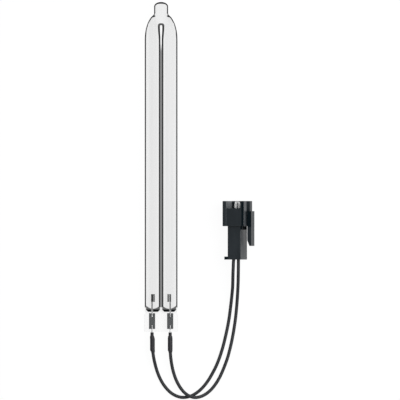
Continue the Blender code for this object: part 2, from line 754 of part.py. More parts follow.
def wire_route(side, free_route, pin_side):
    """The whole route of a wire: from its bared end in the shrink sleeve into its terminal."""
    x = side * LEAD_X
    z = pin_side * PIN_PITCH / 2
    barrel_end = BARREL_START + BARREL_LENGTH - BARREL_WALL
    start = [
        Vector((x, station(WIRE_START), AXIS_Z)),
        Vector((x, station(SHRINK_END) - WIRE_STRAIGHT_SLEEVE, AXIS_Z)),
    ]
    end = [plug_point(0, BARREL_START - WIRE_STRAIGHT_PLUG, z), plug_point(0, barrel_end - FACE_GAP, z)]
    return start + [Vector(point) * MM for point in free_route] + end


def smooth_route(points, step):
    """Evenly spaced points on a smooth curve through the given points."""
    padded = [2 * points[0] - points[1]] + points + [2 * points[-1] - points[-2]]
    fine = []
    for i in range(1, len(padded) - 2):
        before, start, end, after = padded[i - 1:i + 3]
        knots = [0.0]
        for first, second in ((before, start), (start, end), (end, after)):
            knots.append(knots[-1] + math.sqrt((second - first).length))
        k0, k1, k2, k3 = knots
        for j in range(CURVE_STEPS):
            t = k1 + (k2 - k1) * j / CURVE_STEPS
            a1 = before.lerp(start, (t - k0) / (k1 - k0))
            a2 = start.lerp(end, (t - k1) / (k2 - k1))
            a3 = end.lerp(after, (t - k2) / (k3 - k2))
            b1 = a1.lerp(a2, (t - k0) / (k2 - k0))
            b2 = a2.lerp(a3, (t - k1) / (k3 - k1))
            fine.append(b1.lerp(b2, (t - k1) / (k2 - k1)))
    fine.append(points[-1])
    length = sum((b - a).length for a, b in zip(fine, fine[1:]))
    count = round(length / step)
    spaced = [fine[0]]
    travelled = 0.0
    for a, b in zip(fine, fine[1:]):
        travelled += (b - a).length
        if travelled >= length * len(spaced) / count and len(spaced) < count:
            spaced.append(b)
    return spaced + [fine[-1]]


def build_wire(name, points):
    """One insulated wire along evenly spaced points."""
    curve = bpy.data.curves.new(name, "CURVE")
    curve.dimensions = "3D"
    curve.bevel_depth = WIRE_RADIUS
    curve.bevel_resolution = 2
    curve.use_fill_caps = True
    spline = curve.splines.new("POLY")
    spline.points.add(len(points) - 1)
    for point, place in zip(spline.points, points):
        point.co = (*place, 1)
    curve.materials.append(WIRE_RUBBER)
    wire = bpy.data.objects.new(name, curve)
    PARTS.objects.link(wire)


def build_housing(frame):
    """Connector housing: body, hooded mouth, rear flange and the ways for two terminals."""
    body = box_mesh(
        "connector_housing",
        (-BODY_HALF_X, 0, -BODY_HALF_Z),
        (BODY_HALF_X, BODY_LENGTH + HOOD_ROUND * 2, BODY_HALF_Z),
    )
    housing = add_object("connector_housing", body, PARTS, BLACK_PLASTIC, frame)
    add_bevel(housing, BODY_ROUND)
    hood_low = (-HOOD_HALF_X, BODY_LENGTH, -HOOD_HALF_Z)
    hood_high = (HOOD_HALF_X, PLUG_LENGTH, HOOD_HALF_Z)
    hood = add_cutter("hood", box_mesh("hood", hood_low, hood_high), frame)
    add_bevel(hood, HOOD_ROUND, segments=3)
    flange_low = (-BODY_HALF_X - FLANGE_DEPTH, 0, -BODY_HALF_Z + BODY_ROUND)
    flange_high = (-BODY_HALF_X + BODY_ROUND, FLANGE_LENGTH, BODY_HALF_Z - BODY_ROUND)
    flange = add_cutter("rear_flange", box_mesh("rear_flange", flange_low, flange_high), frame)
    add_boolean(housing, hood, "UNION")
    add_boolean(housing, flange, "UNION")
    past = HOOD_ROUND
    cuts = [
        ("mouth", (-MOUTH_HALF_X, PARTITION_Y, -MOUTH_HALF_Z),
         (MOUTH_HALF_X, PLUG_LENGTH + past, MOUTH_HALF_Z)),
        ("near_notch", (-MOUTH_HALF_X, PLUG_LENGTH - NOTCH_DEPTH, 0),
         (MOUTH_HALF_X, PLUG_LENGTH + past, HOOD_HALF_Z + past)),
        ("latch_slot", (0, PLUG_LENGTH - LATCH_SLOT_LENGTH, -LATCH_SLOT_HALF),
         (HOOD_HALF_X + past, PLUG_LENGTH + past, LATCH_SLOT_HALF)),
        ("latch_pocket", (BODY_HALF_X - POCKET_DEPTH, BODY_LENGTH - POCKET_LENGTH, -POCKET_HALF_Z),
         (BODY_HALF_X + past, BODY_LENGTH, POCKET_HALF_Z)),
    ]
    throat_start = PARTITION_Y - THROAT_LENGTH
    ways = (
        ("channel", CHANNEL_HALF_X, CHANNEL_HALF_Z, -past, throat_start),
        ("throat", THROAT_HALF, THROAT_HALF, throat_start - FACE_GAP, PARTITION_Y + FACE_GAP),
    )
    for side, word in PIN_SIDES:
        z = side * PIN_PITCH / 2
        for name, half_x, half_z, start, end in ways:
            low = (-half_x, start, z - half_z)
            cuts.append((f"{name}_{word}", low, (half_x, end, z + half_z)))
    for name, low, high in cuts:
        add_boolean(housing, add_cutter(name, box_mesh(name, low, high), frame))


def build_lever(frame):
    """Latch lever, with its origin on the pivot line and its hook in the mouth's slot."""
    outline = [
        (LEVER_OUTER_X, LEVER_TAIL_Y),
        (LEVER_OUTER_X, LEVER_NOSE_Y),
        (LEVER_INNER_X, LEVER_NOSE_Y),
    ]
    for i in range(BOSS_STEPS + 1):
        angle = math.radians(90 + 180 * i / BOSS_STEPS)
        boss_x = LEVER_INNER_X + PIVOT_BOSS_RADIUS * math.cos(angle)
        outline.append((boss_x, PIVOT_Y + PIVOT_BOSS_RADIUS * math.sin(angle)))
    outline.append((LEVER_INNER_X, LEVER_TAIL_Y + LEVER_TAIL_TAPER))
    outline.append((LEVER_OUTER_X - LEVER_TAIL_THICKNESS, LEVER_TAIL_Y))
    hook_x = HOOD_HALF_X - HOOK_REACH
    hook_outline = [
        (LEVER_INNER_X + LEVER_ROUND, LEVER_NOSE_Y - HOOK_LENGTH),
        (LEVER_INNER_X + LEVER_ROUND, LEVER_NOSE_Y - LEVER_ROUND),
        (LEVER_INNER_X, LEVER_NOSE_Y - LEVER_ROUND),
        (hook_x, LEVER_NOSE_Y - HOOK_LENGTH / 2),
        (hook_x, LEVER_NOSE_Y - HOOK_LENGTH),
    ]
    pivot = Vector((LEVER_INNER_X, PIVOT_Y, 0))
    to_pivot = Matrix.Translation(-pivot)
    plate = outline_mesh("latch_lever", outline, -LEVER_HALF_Z, LEVER_HALF_Z)
    plate.transform(to_pivot)
    lever = add_object("latch_lever", plate, PARTS, BLACK_PLASTIC, frame)
    lever.location = pivot
    add_bevel(lever, LEVER_ROUND, angle=50.0)
    hook_half = LATCH_SLOT_HALF - HOOK_SIDE_GAP
    hook_mesh = outline_mesh("hook", hook_outline, -hook_half, hook_half)
    add_boolean(lever, add_cutter("hook", hook_mesh, frame), "UNION")


def build_terminal(side, word, frame):
    """Pin contact: insulation barrel, conductor crimp, locking box and blade."""
    z = side * PIN_PITCH / 2
    barrel_bore = WIRE_RADIUS + FIT_GAP
    barrel_radius = barrel_bore + BARREL_WALL
    barrel_end = BARREL_START + BARREL_LENGTH
    crimp_start = barrel_end + TERMINAL_NECK / 2
    crimp_end = crimp_start + CRIMP_LENGTH
    box_end = PARTITION_Y - THROAT_LENGTH - FIT_GAP
    profile = [
        (0, crimp_end + TERMINAL_NECK),
        (CRIMP_RADIUS, crimp_end + TERMINAL_NECK),
        (CRIMP_RADIUS, crimp_start),
        (barrel_radius, barrel_end),
        (barrel_radius, BARREL_START),
        (barrel_bore, BARREL_START),
        (barrel_bore, barrel_end - BARREL_WALL),
        (0, barrel_end - BARREL_WALL),
    ]
    terminal = turned_object(f"terminal_{word}", profile, TIN_PLATE, closed=False, parent=frame)
    terminal.location = (0, 0, z)
    box = box_mesh(
        "locking_box",
        (-SPRING_BOX_HALF, crimp_end, z - SPRING_BOX_HALF),
        (SPRING_BOX_HALF, box_end, z + SPRING_BOX_HALF),
    )
    add_boolean(terminal, add_cutter(f"locking_box_{word}", box, frame), "UNION")
    tip = PLUG_LENGTH - PIN_BELOW_MOUTH
    rings = []
    for y, share in ((box_end - TERMINAL_NECK, 1.0), (tip - PIN_TIP_LENGTH, 1.0), (tip, PIN_TIP_SHARE)):
        half_x = PIN_HALF_WIDTH * share
        half_z = PIN_HALF_THICKNESS * share
        corners = ((half_x, half_z), (-half_x, half_z), (-half_x, -half_z), (half_x, -half_z))
        rings.append([(corner_x, y, z + corner_z) for corner_x, corner_z in corners])
    add_boolean(terminal, add_cutter(f"blade_{word}", loft_mesh("blade", rings), frame), "UNION")


def build_plug():
    """The connector at the wires' far end, rolled onto one edge of its hood."""
    frame = bpy.data.objects.new("plug_frame", None)
    bpy.context.scene.collection.objects.link(frame)
    frame.location = (PLUG_X, PLUG_Y, PLUG_Z)
    frame.rotation_euler = (0, -PLUG_ROLL, 0)
    build_housing(frame)
    build_lever(frame)
    for side, word in PIN_SIDES:
        build_terminal(side, word, frame)


for old_object in list(bpy.data.objects):
    bpy.data.objects.remove(old_object)

PARTS = make_collection("uvc_lamp_tube")
CUTTERS = make_collection("cutters")

QUARTZ = make_material("quartz", (0.90, 0.93, 0.95), 0.05)
NICKEL = make_material("nickel", (0.45, 0.44, 0.42), 0.35, 1.0)
LEAD_METAL = make_material("lead metal", (0.55, 0.55, 0.56), 0.3, 1.0)
FOIL_METAL = make_material("foil", (0.22, 0.22, 0.23), 0.45, 1.0)
TIN_PLATE = make_material("tin plate", (0.75, 0.75, 0.74), 0.25, 1.0)
COPPER = make_material("tinned copper", (0.72, 0.62, 0.52), 0.35, 1.0)
SLEEVE_RUBBER = make_material("lead sleeve", (0.02, 0.02, 0.022), 0.55)
SHRINK_RUBBER = make_material("heat shrink", (0.025, 0.025, 0.028), 0.45)
WIRE_RUBBER = make_material("wire insulation", (0.025, 0.027, 0.032), 0.5)
BLACK_PLASTIC = make_material("black nylon", (0.02, 0.021, 0.024), 0.4)

SIDES = ((-1, "left"), (1, "right"))
PIN_SIDES = ((1, "near"), (-1, "far"))

build_envelope()
for lamp_side, lamp_word in SIDES:
    build_seal_metal(lamp_side, lamp_word)
    build_sleeves(lamp_side, lamp_word)
build_wire("wire_left", smooth_route(wire_route(-1, WIRE_LEFT_ROUTE, 1), WIRE_POINT_STEP))
build_wire("wire_right", smooth_route(wire_route(1, WIRE_RIGHT_ROUTE, -1), WIRE_POINT_STEP))
build_plug()
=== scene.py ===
"""Looks of a UV-C germicidal lamp: a U-shaped quartz tube with its foil seals, two black wires
and a latching connector, lying on a pale surface. Sizes are in metres."""
import math

import bmesh
import bpy
from mathutils import Matrix, Vector


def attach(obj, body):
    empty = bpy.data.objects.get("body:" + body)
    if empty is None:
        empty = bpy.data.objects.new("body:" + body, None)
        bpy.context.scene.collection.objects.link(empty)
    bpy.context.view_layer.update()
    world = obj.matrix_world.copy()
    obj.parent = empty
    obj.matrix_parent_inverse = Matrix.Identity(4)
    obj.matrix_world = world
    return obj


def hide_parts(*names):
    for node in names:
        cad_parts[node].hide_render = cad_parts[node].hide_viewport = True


bl_info = {
    "name": "UV-C lamp looks",
    "version": (1, 0, 0),
    "blender": (4, 5, 0),
    "location": "3D View > Sidebar > Lamp",
    "description": "Quartz, metal, sleeves, wires and connector finishes of a small germicidal lamp",
    "category": "Object",
}

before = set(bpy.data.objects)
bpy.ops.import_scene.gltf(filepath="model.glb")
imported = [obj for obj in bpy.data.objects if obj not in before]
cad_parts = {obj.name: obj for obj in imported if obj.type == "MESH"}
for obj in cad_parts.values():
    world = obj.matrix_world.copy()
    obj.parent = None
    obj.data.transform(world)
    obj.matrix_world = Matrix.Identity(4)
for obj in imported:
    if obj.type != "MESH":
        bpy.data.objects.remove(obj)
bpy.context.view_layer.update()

MM = 0.001

# Quartz tube: distances run along the lamp from the nipple's tip, as in the solids
LAMP_TOP_Y = 74.48 * MM
LEG_X = 3.45 * MM
LEG_RADIUS = 3.50 * MM
LEG_OVERLAP = 0.10 * MM
GROOVE_RADIUS = 0.80 * MM
NIPPLE_RADIUS = 2.98 * MM
NIPPLE_DOME = 1.90 * MM
NIPPLE_LENGTH = 4.90 * MM
FLARE_LENGTH = 1.70 * MM
SHOULDER_LENGTH = 12.30 * MM
SPRING_LINE = 16.36 * MM
GAP_TOP = 9.90 * MM
GAP_LENGTH = 9.90 * MM
GAP_HEAD = 0.80 * MM
GAP_HALF_WIDTH = 0.50 * MM
GAP_TIP_HALF_WIDTH = 0.06 * MM
LEG_END = 129.36 * MM
LEG_CLOSE_LENGTH = 2.90 * MM
SEAL_START = 132.26 * MM
SEAL_END = 140.11 * MM
SEAL_HALF_THICKNESS = 1.20 * MM
SEAL_EDGE_ROUND = 0.35 * MM

# Rounding of the shoulders, a little fuller than in the solids, and where the section turns into two legs
SHOULDER_SQUARENESS = 2.3
SHOULDER_FULLNESS = 2.16
CROWN_END = 9.15 * MM
CROTCH_SHARE = 0.08

# Fineness of the drawn pieces: points across a section, rings along the tube, steps round and along
ARC_STEPS = 36
GROOVE_STEPS = 14
DOME_RINGS = 12
FLARE_RINGS = 10
CROWN_RINGS = 7
CROTCH_RINGS = 10
GAP_RINGS = 30
GAP_LAST_SHARE = 0.995
LEG_RINGS = 8
CLOSE_RINGS = 12
SEAL_END_RINGS = 6
CUTTER_HEAD_STEPS = 14
CUTTER_SIDE_STEPS = 22
CUTTER_LAST_SHARE = 0.98
TURN_STEPS = 40
SLEEVE_STEPS = 48
ROUTE_STEPS = 24
WIRE_STEP = 0.8 * MM
SHARP_ANGLE = math.radians(50)

# Leads and shrink sleeves, with distances from the same tip
LEAD_X = 3.85 * MM
SPLICE_START = 143.46 * MM
WIRE_START = 146.81 * MM
SHRINK_START = 141.90 * MM
SHRINK_END = 148.96 * MM
SHRINK_BORE = 0.80 * MM
SHRINK_MOUTH_RADIUS = 0.88 * MM
SHRINK_RISE_SHARE = 0.7
SHRINK_TAIL_RADIUS = 0.82 * MM
SHRINK_TAIL_BORE = 0.72 * MM
SHRINK_TAIL_LENGTH = 0.85 * MM
SHRINK_TAIL_EASE = 0.6

# How far a sleeve leans to the right after its mouth and again at its tail, and over which shares
SHRINK_LEAN = {"left": (0.17 * MM, 0.21 * MM), "right": (0.0, 0.08 * MM)}
MOUTH_LEAN_SHARE = 0.22
TAIL_LEAN_START = 0.86
TAIL_LEAN_SHARE = 0.08

# Where the connector lies and how far it is rolled to its side
PLUG_PLACE = Vector((32.4, -35.0, 6.3395)) * MM
PLUG_ROLL = math.radians(21.0)

# Stage, in metres and watts
SURFACE_HALF_WIDTH = 3.0
SURFACE_WHITE_SHARE = 0.95
LAMP_AIM = (0.0165, -0.0097, 0.003)
KEY_PLACE = (0.35, 0.10, 0.70)
KEY_SIZE = 0.60
KEY_POWER = 7.0
FILL_PLACE = (0.10, 0.75, 0.45)
FILL_SIZE = 0.50
FILL_POWER = 1.5
CAMERA_PLACE = (0.01653, -0.00967, 0.5)
VIEW_WIDTH = 0.170
WHITE = (1.0, 1.0, 1.0, 1.0)
SKY_LOW = (0.60, 0.61, 0.63, 1.0)
SKY_HIGH = (0.26, 0.27, 0.29, 1.0)
SKY_RISE = (0.2, 0.95)

# Routes of the wires in millimetres, from the splices to the contacts
WIRE_LEFT_ROUTE = [
    (-3.67, -72.33, 3.50),
    (-3.43, -74.80, 3.50),
    (-3.17, -76.60, 3.22),
    (-2.69, -78.90, 2.40),
    (-1.81, -82.10, 1.40),
    (-0.46, -85.50, 0.85),
    (1.59, -88.90, 0.72),
    (4.65, -91.95, 0.72),
    (8.40, -93.50, 0.72),
    (12.30, -93.10, 0.72),
    (15.80, -91.10, 0.72),
    (19.22, -87.50, 0.72),
    (22.66, -81.75, 0.72),
    (24.36, -77.90, 0.72),
    (26.12, -72.60, 0.72),
    (27.74, -66.00, 0.73),
    (28.75, -60.90, 0.82),
    (29.45, -55.80, 1.40),
    (30.00, -51.00, 2.75),
    (30.40, -46.50, 4.60),
    (30.52, -42.00, 6.30),
    (30.65, -38.40, 7.18),
    (30.85, -35.00, 7.40),
    (31.35, -33.35, 7.46),
    (31.952, -32.20, 7.507),
    (31.952, -30.70, 7.507),
]
WIRE_RIGHT_ROUTE = [
    (3.89, -72.33, 3.50),
    (3.96, -74.90, 3.50),
    (4.11, -76.70, 3.28),
    (4.51, -79.60, 2.55),
    (5.29, -83.00, 1.90),
    (6.51, -86.40, 1.75),
    (8.44, -89.80, 2.05),
    (10.40, -91.95, 2.34),
    (12.30, -93.10, 2.42),
    (14.40, -93.60, 2.36),
    (17.40, -93.00, 1.85),
    (20.91, -90.60, 1.05),
    (24.35, -86.00, 0.73),
    (27.82, -78.00, 0.72),
    (29.30, -72.80, 0.72),
    (30.41, -67.70, 0.72),
    (31.50, -60.90, 0.80),
    (32.05, -55.80, 1.20),
    (32.45, -50.50, 2.25),
    (32.72, -45.00, 3.80),
    (32.82, -40.00, 4.85),
    (32.85, -36.50, 5.14),
    (32.848, -32.20, 5.172),
    (32.848, -30.70, 5.172),
]


class LampSizes(bpy.types.PropertyGroup):
    """Sizes of the pieces that are drawn again over the solids."""

    leg_radius: bpy.props.FloatProperty(
        name="Leg radius",
        description="Outer radius of each quartz leg",
        default=LEG_RADIUS,
        unit="LENGTH",
        precision=5,
    )
    seal_half_width: bpy.props.FloatProperty(
        name="Seal half width",
        description="Half the width of the flat pinch seal",
        default=7.20 * MM,
        unit="LENGTH",
        precision=5,
    )
    wire_radius: bpy.props.FloatProperty(
        name="Wire radius",
        description="Outer radius of each insulated wire",
        default=0.70 * MM,
        unit="LENGTH",
        precision=5,
    )
    sleeve_radius: bpy.props.FloatProperty(
        name="Sleeve radius",
        description="Outer radius of the shrink sleeves at the splices",
        default=1.02 * MM,
        unit="LENGTH",
        precision=5,
    )


class LampColours(bpy.types.PropertyGroup):
    """Colours of the lamp's finishes."""

    quartz: bpy.props.FloatVectorProperty(
        name="Quartz",
        description="Grey veil of the clear quartz",
        subtype="COLOR",
        size=3,
        default=(0.16, 0.165, 0.165),
    )
    # Painted shade: near-black tone standing in for refraction at the glass's edges, seam and bore ends
    quartz_painted_shade: bpy.props.FloatVectorProperty(
        name="Quartz edge",
        description="Dark tone where the quartz is seen edge on",
        subtype="COLOR",
        size=3,
        default=(0.006, 0.007, 0.008),
    )
    nickel: bpy.props.FloatVectorProperty(
        name="Nickel",
        description="Cup cathodes",
        subtype="COLOR",
        size=3,
        default=(0.13, 0.13, 0.128),
    )
    foil: bpy.props.FloatVectorProperty(
        name="Foil",
        description="Sealing foils inside the pinch",
        subtype="COLOR",
        size=3,
        default=(0.052, 0.055, 0.056),
    )
    lead: bpy.props.FloatVectorProperty(
        name="Lead wire",
        description="Bare lead wires",
        subtype="COLOR",
        size=3,
        default=(0.36, 0.36, 0.36),
    )
    tin: bpy.props.FloatVectorProperty(
        name="Tin plate",
        description="Plated contacts and splices",
        subtype="COLOR",
        size=3,
        default=(0.68, 0.68, 0.67),
    )
    rubber: bpy.props.FloatVectorProperty(
        name="Sleeve rubber",
        description="Sleeves over the leads and splices",
        subtype="COLOR",
        size=3,
        default=(0.010, 0.010, 0.012),
    )
    insulation: bpy.props.FloatVectorProperty(
        name="Wire insulation",
        description="Skin of the wires",
        subtype="COLOR",
        size=3,
        default=(0.011, 0.012, 0.014),
    )
    nylon: bpy.props.FloatVectorProperty(
        name="Black nylon",
        description="Connector housing and latch",
        subtype="COLOR",
        size=3,
        default=(0.0045, 0.008, 0.0105),
    )
    # Painted light on the walls beside the latch and inside the connector's mouth
    nylon_painted_light: bpy.props.FloatVectorProperty(
        name="Pale nylon",
        description="Matt walls beside the latch and inside the connector's mouth",
        subtype="COLOR",
        size=3,
        default=(0.135, 0.142, 0.148),
    )
    surface: bpy.props.FloatVectorProperty(
        name="Surface",
        description="Pale surface below the lamp",
        subtype="COLOR",
        size=3,
        default=(0.90, 0.90, 0.90),
    )


class Value:
    """A number socket of a shader, so that sums can be written as Python."""

    def __init__(self, recipe, socket):
        self.recipe = recipe
        self.socket = socket

    def sum(self, operation, *terms):
        return self.recipe.node("ShaderNodeMath", {"operation": operation}, dict(enumerate(terms)))

    def __add__(self, other):
        return self.sum("ADD", self, other)

    def __radd__(self, other):
        return self.sum("ADD", other, self)

    def __sub__(self, other):
        return self.sum("SUBTRACT", self, other)

    def __rsub__(self, other):
        return self.sum("SUBTRACT", other, self)

    def __mul__(self, other):
        return self.sum("MULTIPLY", self, other)

    def __rmul__(self, other):
        return self.sum("MULTIPLY", other, self)

    def __truediv__(self, other):
        return self.sum("DIVIDE", self, other)

    def __rtruediv__(self, other):
        return self.sum("DIVIDE", other, self)

    def __pow__(self, other):
        return self.sum("POWER", self, other)

    def __abs__(self):
        return self.sum("ABSOLUTE", self)

    def larger(self, other):
        return self.sum("MAXIMUM", self, other)

    def ramp(self, low, high, start=0.0, end=1.0):
        """Ease from start at low to end at high, held past both."""
        reach = {"interpolation_type": "SMOOTHSTEP"}
        sockets = {"Value": self, "From Min": low, "From Max": high, "To Min": start, "To Max": end}
        return self.recipe.node("ShaderNodeMapRange", reach, sockets)

    def band(self, middle, half, soft):
        """1 within half of the middle, fading to 0 over soft."""
        return 1 - abs(self - middle).ramp(half, half + soft)


class Recipe:
    """The nodes of one material, or of the world."""

    def __init__(self, owner):
        self.owner = owner if isinstance(owner, bpy.types.ID) else bpy.data.materials.new(owner)
        self.owner.use_nodes = True
        self.tree = self.owner.node_tree
        self.tree.nodes.clear()

    def node(self, kind, settings=None, sockets=None, output=0):
        """Add a node: its settings first, then the values or links of its sockets."""
        made = self.tree.nodes.new(kind)
        for name, value in (settings or {}).items():
            setattr(made, name, value)
        for name, value in (sockets or {}).items():
            if isinstance(value, Value):
                self.tree.links.new(value.socket, made.inputs[name])
            else:
                made.inputs[name].default_value = value
        return Value(self, made.outputs[output]) if made.outputs else None

    def split(self, vector):
        """The three numbers of a vector."""
        first = self.node("ShaderNodeSeparateXYZ", None, {0: vector})
        return [Value(self, socket) for socket in first.socket.node.outputs]

    def place(self):
        """The point's own coordinates in millimetres: along the object's x, y and z."""
        point = self.node("ShaderNodeTexCoord", output="Object")
        return [part * (1 / MM) for part in self.split(point)]

    def stretched(self, scale):
        """The point's own coordinates with each axis scaled, for grain with a direction."""
        point = self.node("ShaderNodeTexCoord", output="Object")
        return self.node("ShaderNodeVectorMath", {"operation": "MULTIPLY"}, {0: point, 1: scale})

    def noise(self, scale, detail, vector=None):
        """Noise from 0 to 1 whose scale counts lumps in a metre."""
        vector = vector or self.node("ShaderNodeTexCoord", output="Object")
        sockets = {"Scale": scale, "Detail": detail, "Vector": vector}
        return self.node("ShaderNodeTexNoise", None, sockets)

    def blend(self, factor, first, second):
        """A colour between two."""
        sockets = {"Factor": factor, 6: first, 7: second}
        return self.node("ShaderNodeMix", {"data_type": "RGBA"}, sockets, output=2)

    def bump(self, height, distance, strength):
        """A normal that follows a height of up to the distance."""
        sockets = {"Strength": strength, "Distance": distance, "Height": height}
        return self.node("ShaderNodeBump", None, sockets)

    def principled(self, **sockets):
        """The surface shader, with sockets named by words joined by underscores."""
        named = {name.replace("_", " "): value for name, value in sockets.items()}
        return self.node("ShaderNodeBsdfPrincipled", None, named)

    def mix(self, factor, first, second):
        """A surface between two."""
        return self.node("ShaderNodeMixShader", None, {0: factor, 1: first, 2: second})

    def seen(self):
        """1 for rays that show a thing directly, in a reflection or through glass."""
        path = "ShaderNodeLightPath"
        seen = self.node(path, output="Is Camera Ray")
        seen = seen.larger(self.node(path, output="Is Glossy Ray"))
        return seen.larger(self.node(path, output="Is Transmission Ray"))

    def finish(self, surface):
        """Close the recipe with its output, and hand back the material or world."""
        world = isinstance(self.owner, bpy.types.World)
        kind = "ShaderNodeOutputWorld" if world else "ShaderNodeOutputMaterial"
        self.node(kind, None, {"Surface": surface})
        return self.owner


def solid(colour):
    """A colour with full alpha."""
    return (*colour, 1.0)


def shade(colour, factor):
    """A colour made lighter or darker."""
    return (*(min(channel * factor, 1.0) for channel in colour), 1.0)


def dress(name, material):
    """Give a solid of the frame its finish."""
    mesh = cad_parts[name].data
    mesh.materials.clear()
    mesh.materials.append(material)


def new_object(name, data):
    """A new object in the scene."""
    made = bpy.data.objects.new(name, data)
    bpy.context.scene.collection.objects.link(made)
    return made


def add_piece(name, data, material, body, node):
    """A new piece that rides on a body and stands for a solid."""
    piece = new_object(name, data)
    data.materials.append(material)
    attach(piece, body)
    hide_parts(node)
    return piece


def station(distance):
    """World Y of a distance behind the nipple's tip."""
    return LAMP_TOP_Y - distance


def smooth_step(value):
    """Ease from 0 to 1."""
    value = min(max(value, 0.0), 1.0)
    return value * value * (3 - 2 * value)


class TubeForm:
    """Widths and sections of the quartz tube."""

    def __init__(self, sizes):
        self.leg_radius = sizes.leg_radius
        self.half_width = 2 * sizes.leg_radius - LEG_OVERLAP / 2
        self.seal_half_width = sizes.seal_half_width
        self.axis_z = sizes.leg_radius
        self.flare_end = NIPPLE_LENGTH + FLARE_LENGTH

    def shoulder(self, distance):
        """Outer half width from the flare to the straight legs."""
        share = min(max((SPRING_LINE - distance) / SHOULDER_LENGTH, 0.0), 1.0)
        return self.half_width * math.sqrt(1 - share ** SHOULDER_FULLNESS)

    def width(self, distance):
        """Outer half width along X."""
        if distance < NIPPLE_DOME:
            share = 1 - distance / NIPPLE_DOME
            return NIPPLE_RADIUS * math.sqrt(max(1 - share * share, 0.0))
        if distance <= NIPPLE_LENGTH:
            return NIPPLE_RADIUS
        if distance >= self.flare_end:
            return self.shoulder(distance)
        step = 0.01 * MM
        end = self.shoulder(self.flare_end)
        slope = (self.shoulder(self.flare_end + step) - end) / step
        share = (distance - NIPPLE_LENGTH) / FLARE_LENGTH
        rise = smooth_step(share)
        lean = share * share * (share - 1)
        return NIPPLE_RADIUS + (end - NIPPLE_RADIUS) * rise + slope * FLARE_LENGTH * lean

    def height(self, distance):
        """Outer half height along Z."""
        if distance <= NIPPLE_LENGTH:
            return self.width(distance)
        share = (distance - NIPPLE_LENGTH) / (GAP_TOP + GAP_HEAD - NIPPLE_LENGTH)
        return NIPPLE_RADIUS + (self.leg_radius - NIPPLE_RADIUS) * smooth_step(share)

    def gap(self, distance):
        """Half width of the teardrop gap."""
        along = distance - GAP_TOP
        if along <= 0 or along >= GAP_LENGTH:
            return 0.0
        if along < GAP_HEAD:
            share = 1 - along / GAP_HEAD
            return GAP_HALF_WIDTH * math.sqrt(1 - share * share)
        share = (along - GAP_HEAD) / (GAP_LENGTH - GAP_HEAD)
        return GAP_HALF_WIDTH + (GAP_TIP_HALF_WIDTH - GAP_HALF_WIDTH) * smooth_step(share)

    def inner_edge(self, distance):
        """X of a leg's inner flank."""
        along = (distance - GAP_TOP) / GAP_LENGTH
        if along < 0 or along > 1:
            return -LEG_OVERLAP / 2
        return self.gap(distance)

    def ring(self, quarter, distance):
        """A quarter outline mirrored into a ring round the lamp's axis."""
        top_left = [(-x, z) for x, z in reversed(quarter[:-1])]
        bottom_left = [(-x, -z) for x, z in quarter[1:]]
        bottom_right = [(x, -z) for x, z in reversed(quarter[1:-1])]
        outline = quarter + top_left + bottom_left + bottom_right
        return [(x, station(distance), self.axis_z + z) for x, z in outline]

    def oval(self, half_width, half_height, squareness):
        """A quarter of a superellipse."""
        steps = ARC_STEPS + GROOVE_STEPS
        points = []
        for i in range(steps + 1):
            angle = math.radians(90) * i / steps
            x = half_width * math.cos(angle) ** (2 / squareness) if i < steps else 0.0
            z = half_height * math.sin(angle) ** (2 / squareness) if i > 0 else 0.0
            points.append((x, z))
        return points

    def legs(self, half_width, half_height, inner_edge):
        """A quarter of two fused legs with the groove between them."""
        squash = (half_width - inner_edge) / 2 / half_height
        centre = (half_width + inner_edge) / 2 / squash
        groove_height = math.sqrt((half_height + GROOVE_RADIUS) ** 2 - centre ** 2)
        turn = math.atan2(groove_height, -centre)
        points = []
        for i in range(ARC_STEPS + 1):
            angle = turn * i / ARC_STEPS
            x = (centre + half_height * math.cos(angle)) * squash
            points.append((x, half_height * math.sin(angle)))
        first = math.atan2(-groove_height, centre)
        last = math.radians(-90)
        for i in range(1, GROOVE_STEPS + 1):
            angle = first + (last - first) * i / GROOVE_STEPS
            x = GROOVE_RADIUS * math.cos(angle) * squash if i < GROOVE_STEPS else 0.0
            points.append((x, groove_height + GROOVE_RADIUS * math.sin(angle)))
        return points

    def straight_legs(self):
        """A quarter of the legs where they run straight."""
        return self.legs(self.half_width, self.leg_radius, -LEG_OVERLAP / 2)

    def slab(self, half_width, half_height):
        """A quarter of the flat seal, its points set out across as the legs' are."""
        flat = half_width - half_height
        points = []
        for x, z in self.straight_legs():
            across = half_width * x / self.half_width
            past = max(across - flat, 0.0)
            points.append((across, math.sqrt(max(half_height ** 2 - past ** 2, 0.0))))
        return points


def blend_quarters(first, second, share):
    """A quarter outline part way from one to another."""
    pairs = zip(first, second)
    return [(xa + (xb - xa) * share, za + (zb - za) * share) for (xa, za), (xb, zb) in pairs]


def shares(start, end, count):
    """Evenly spaced values, both ends included."""
    return [start + (end - start) * i / (count - 1) for i in range(count)]


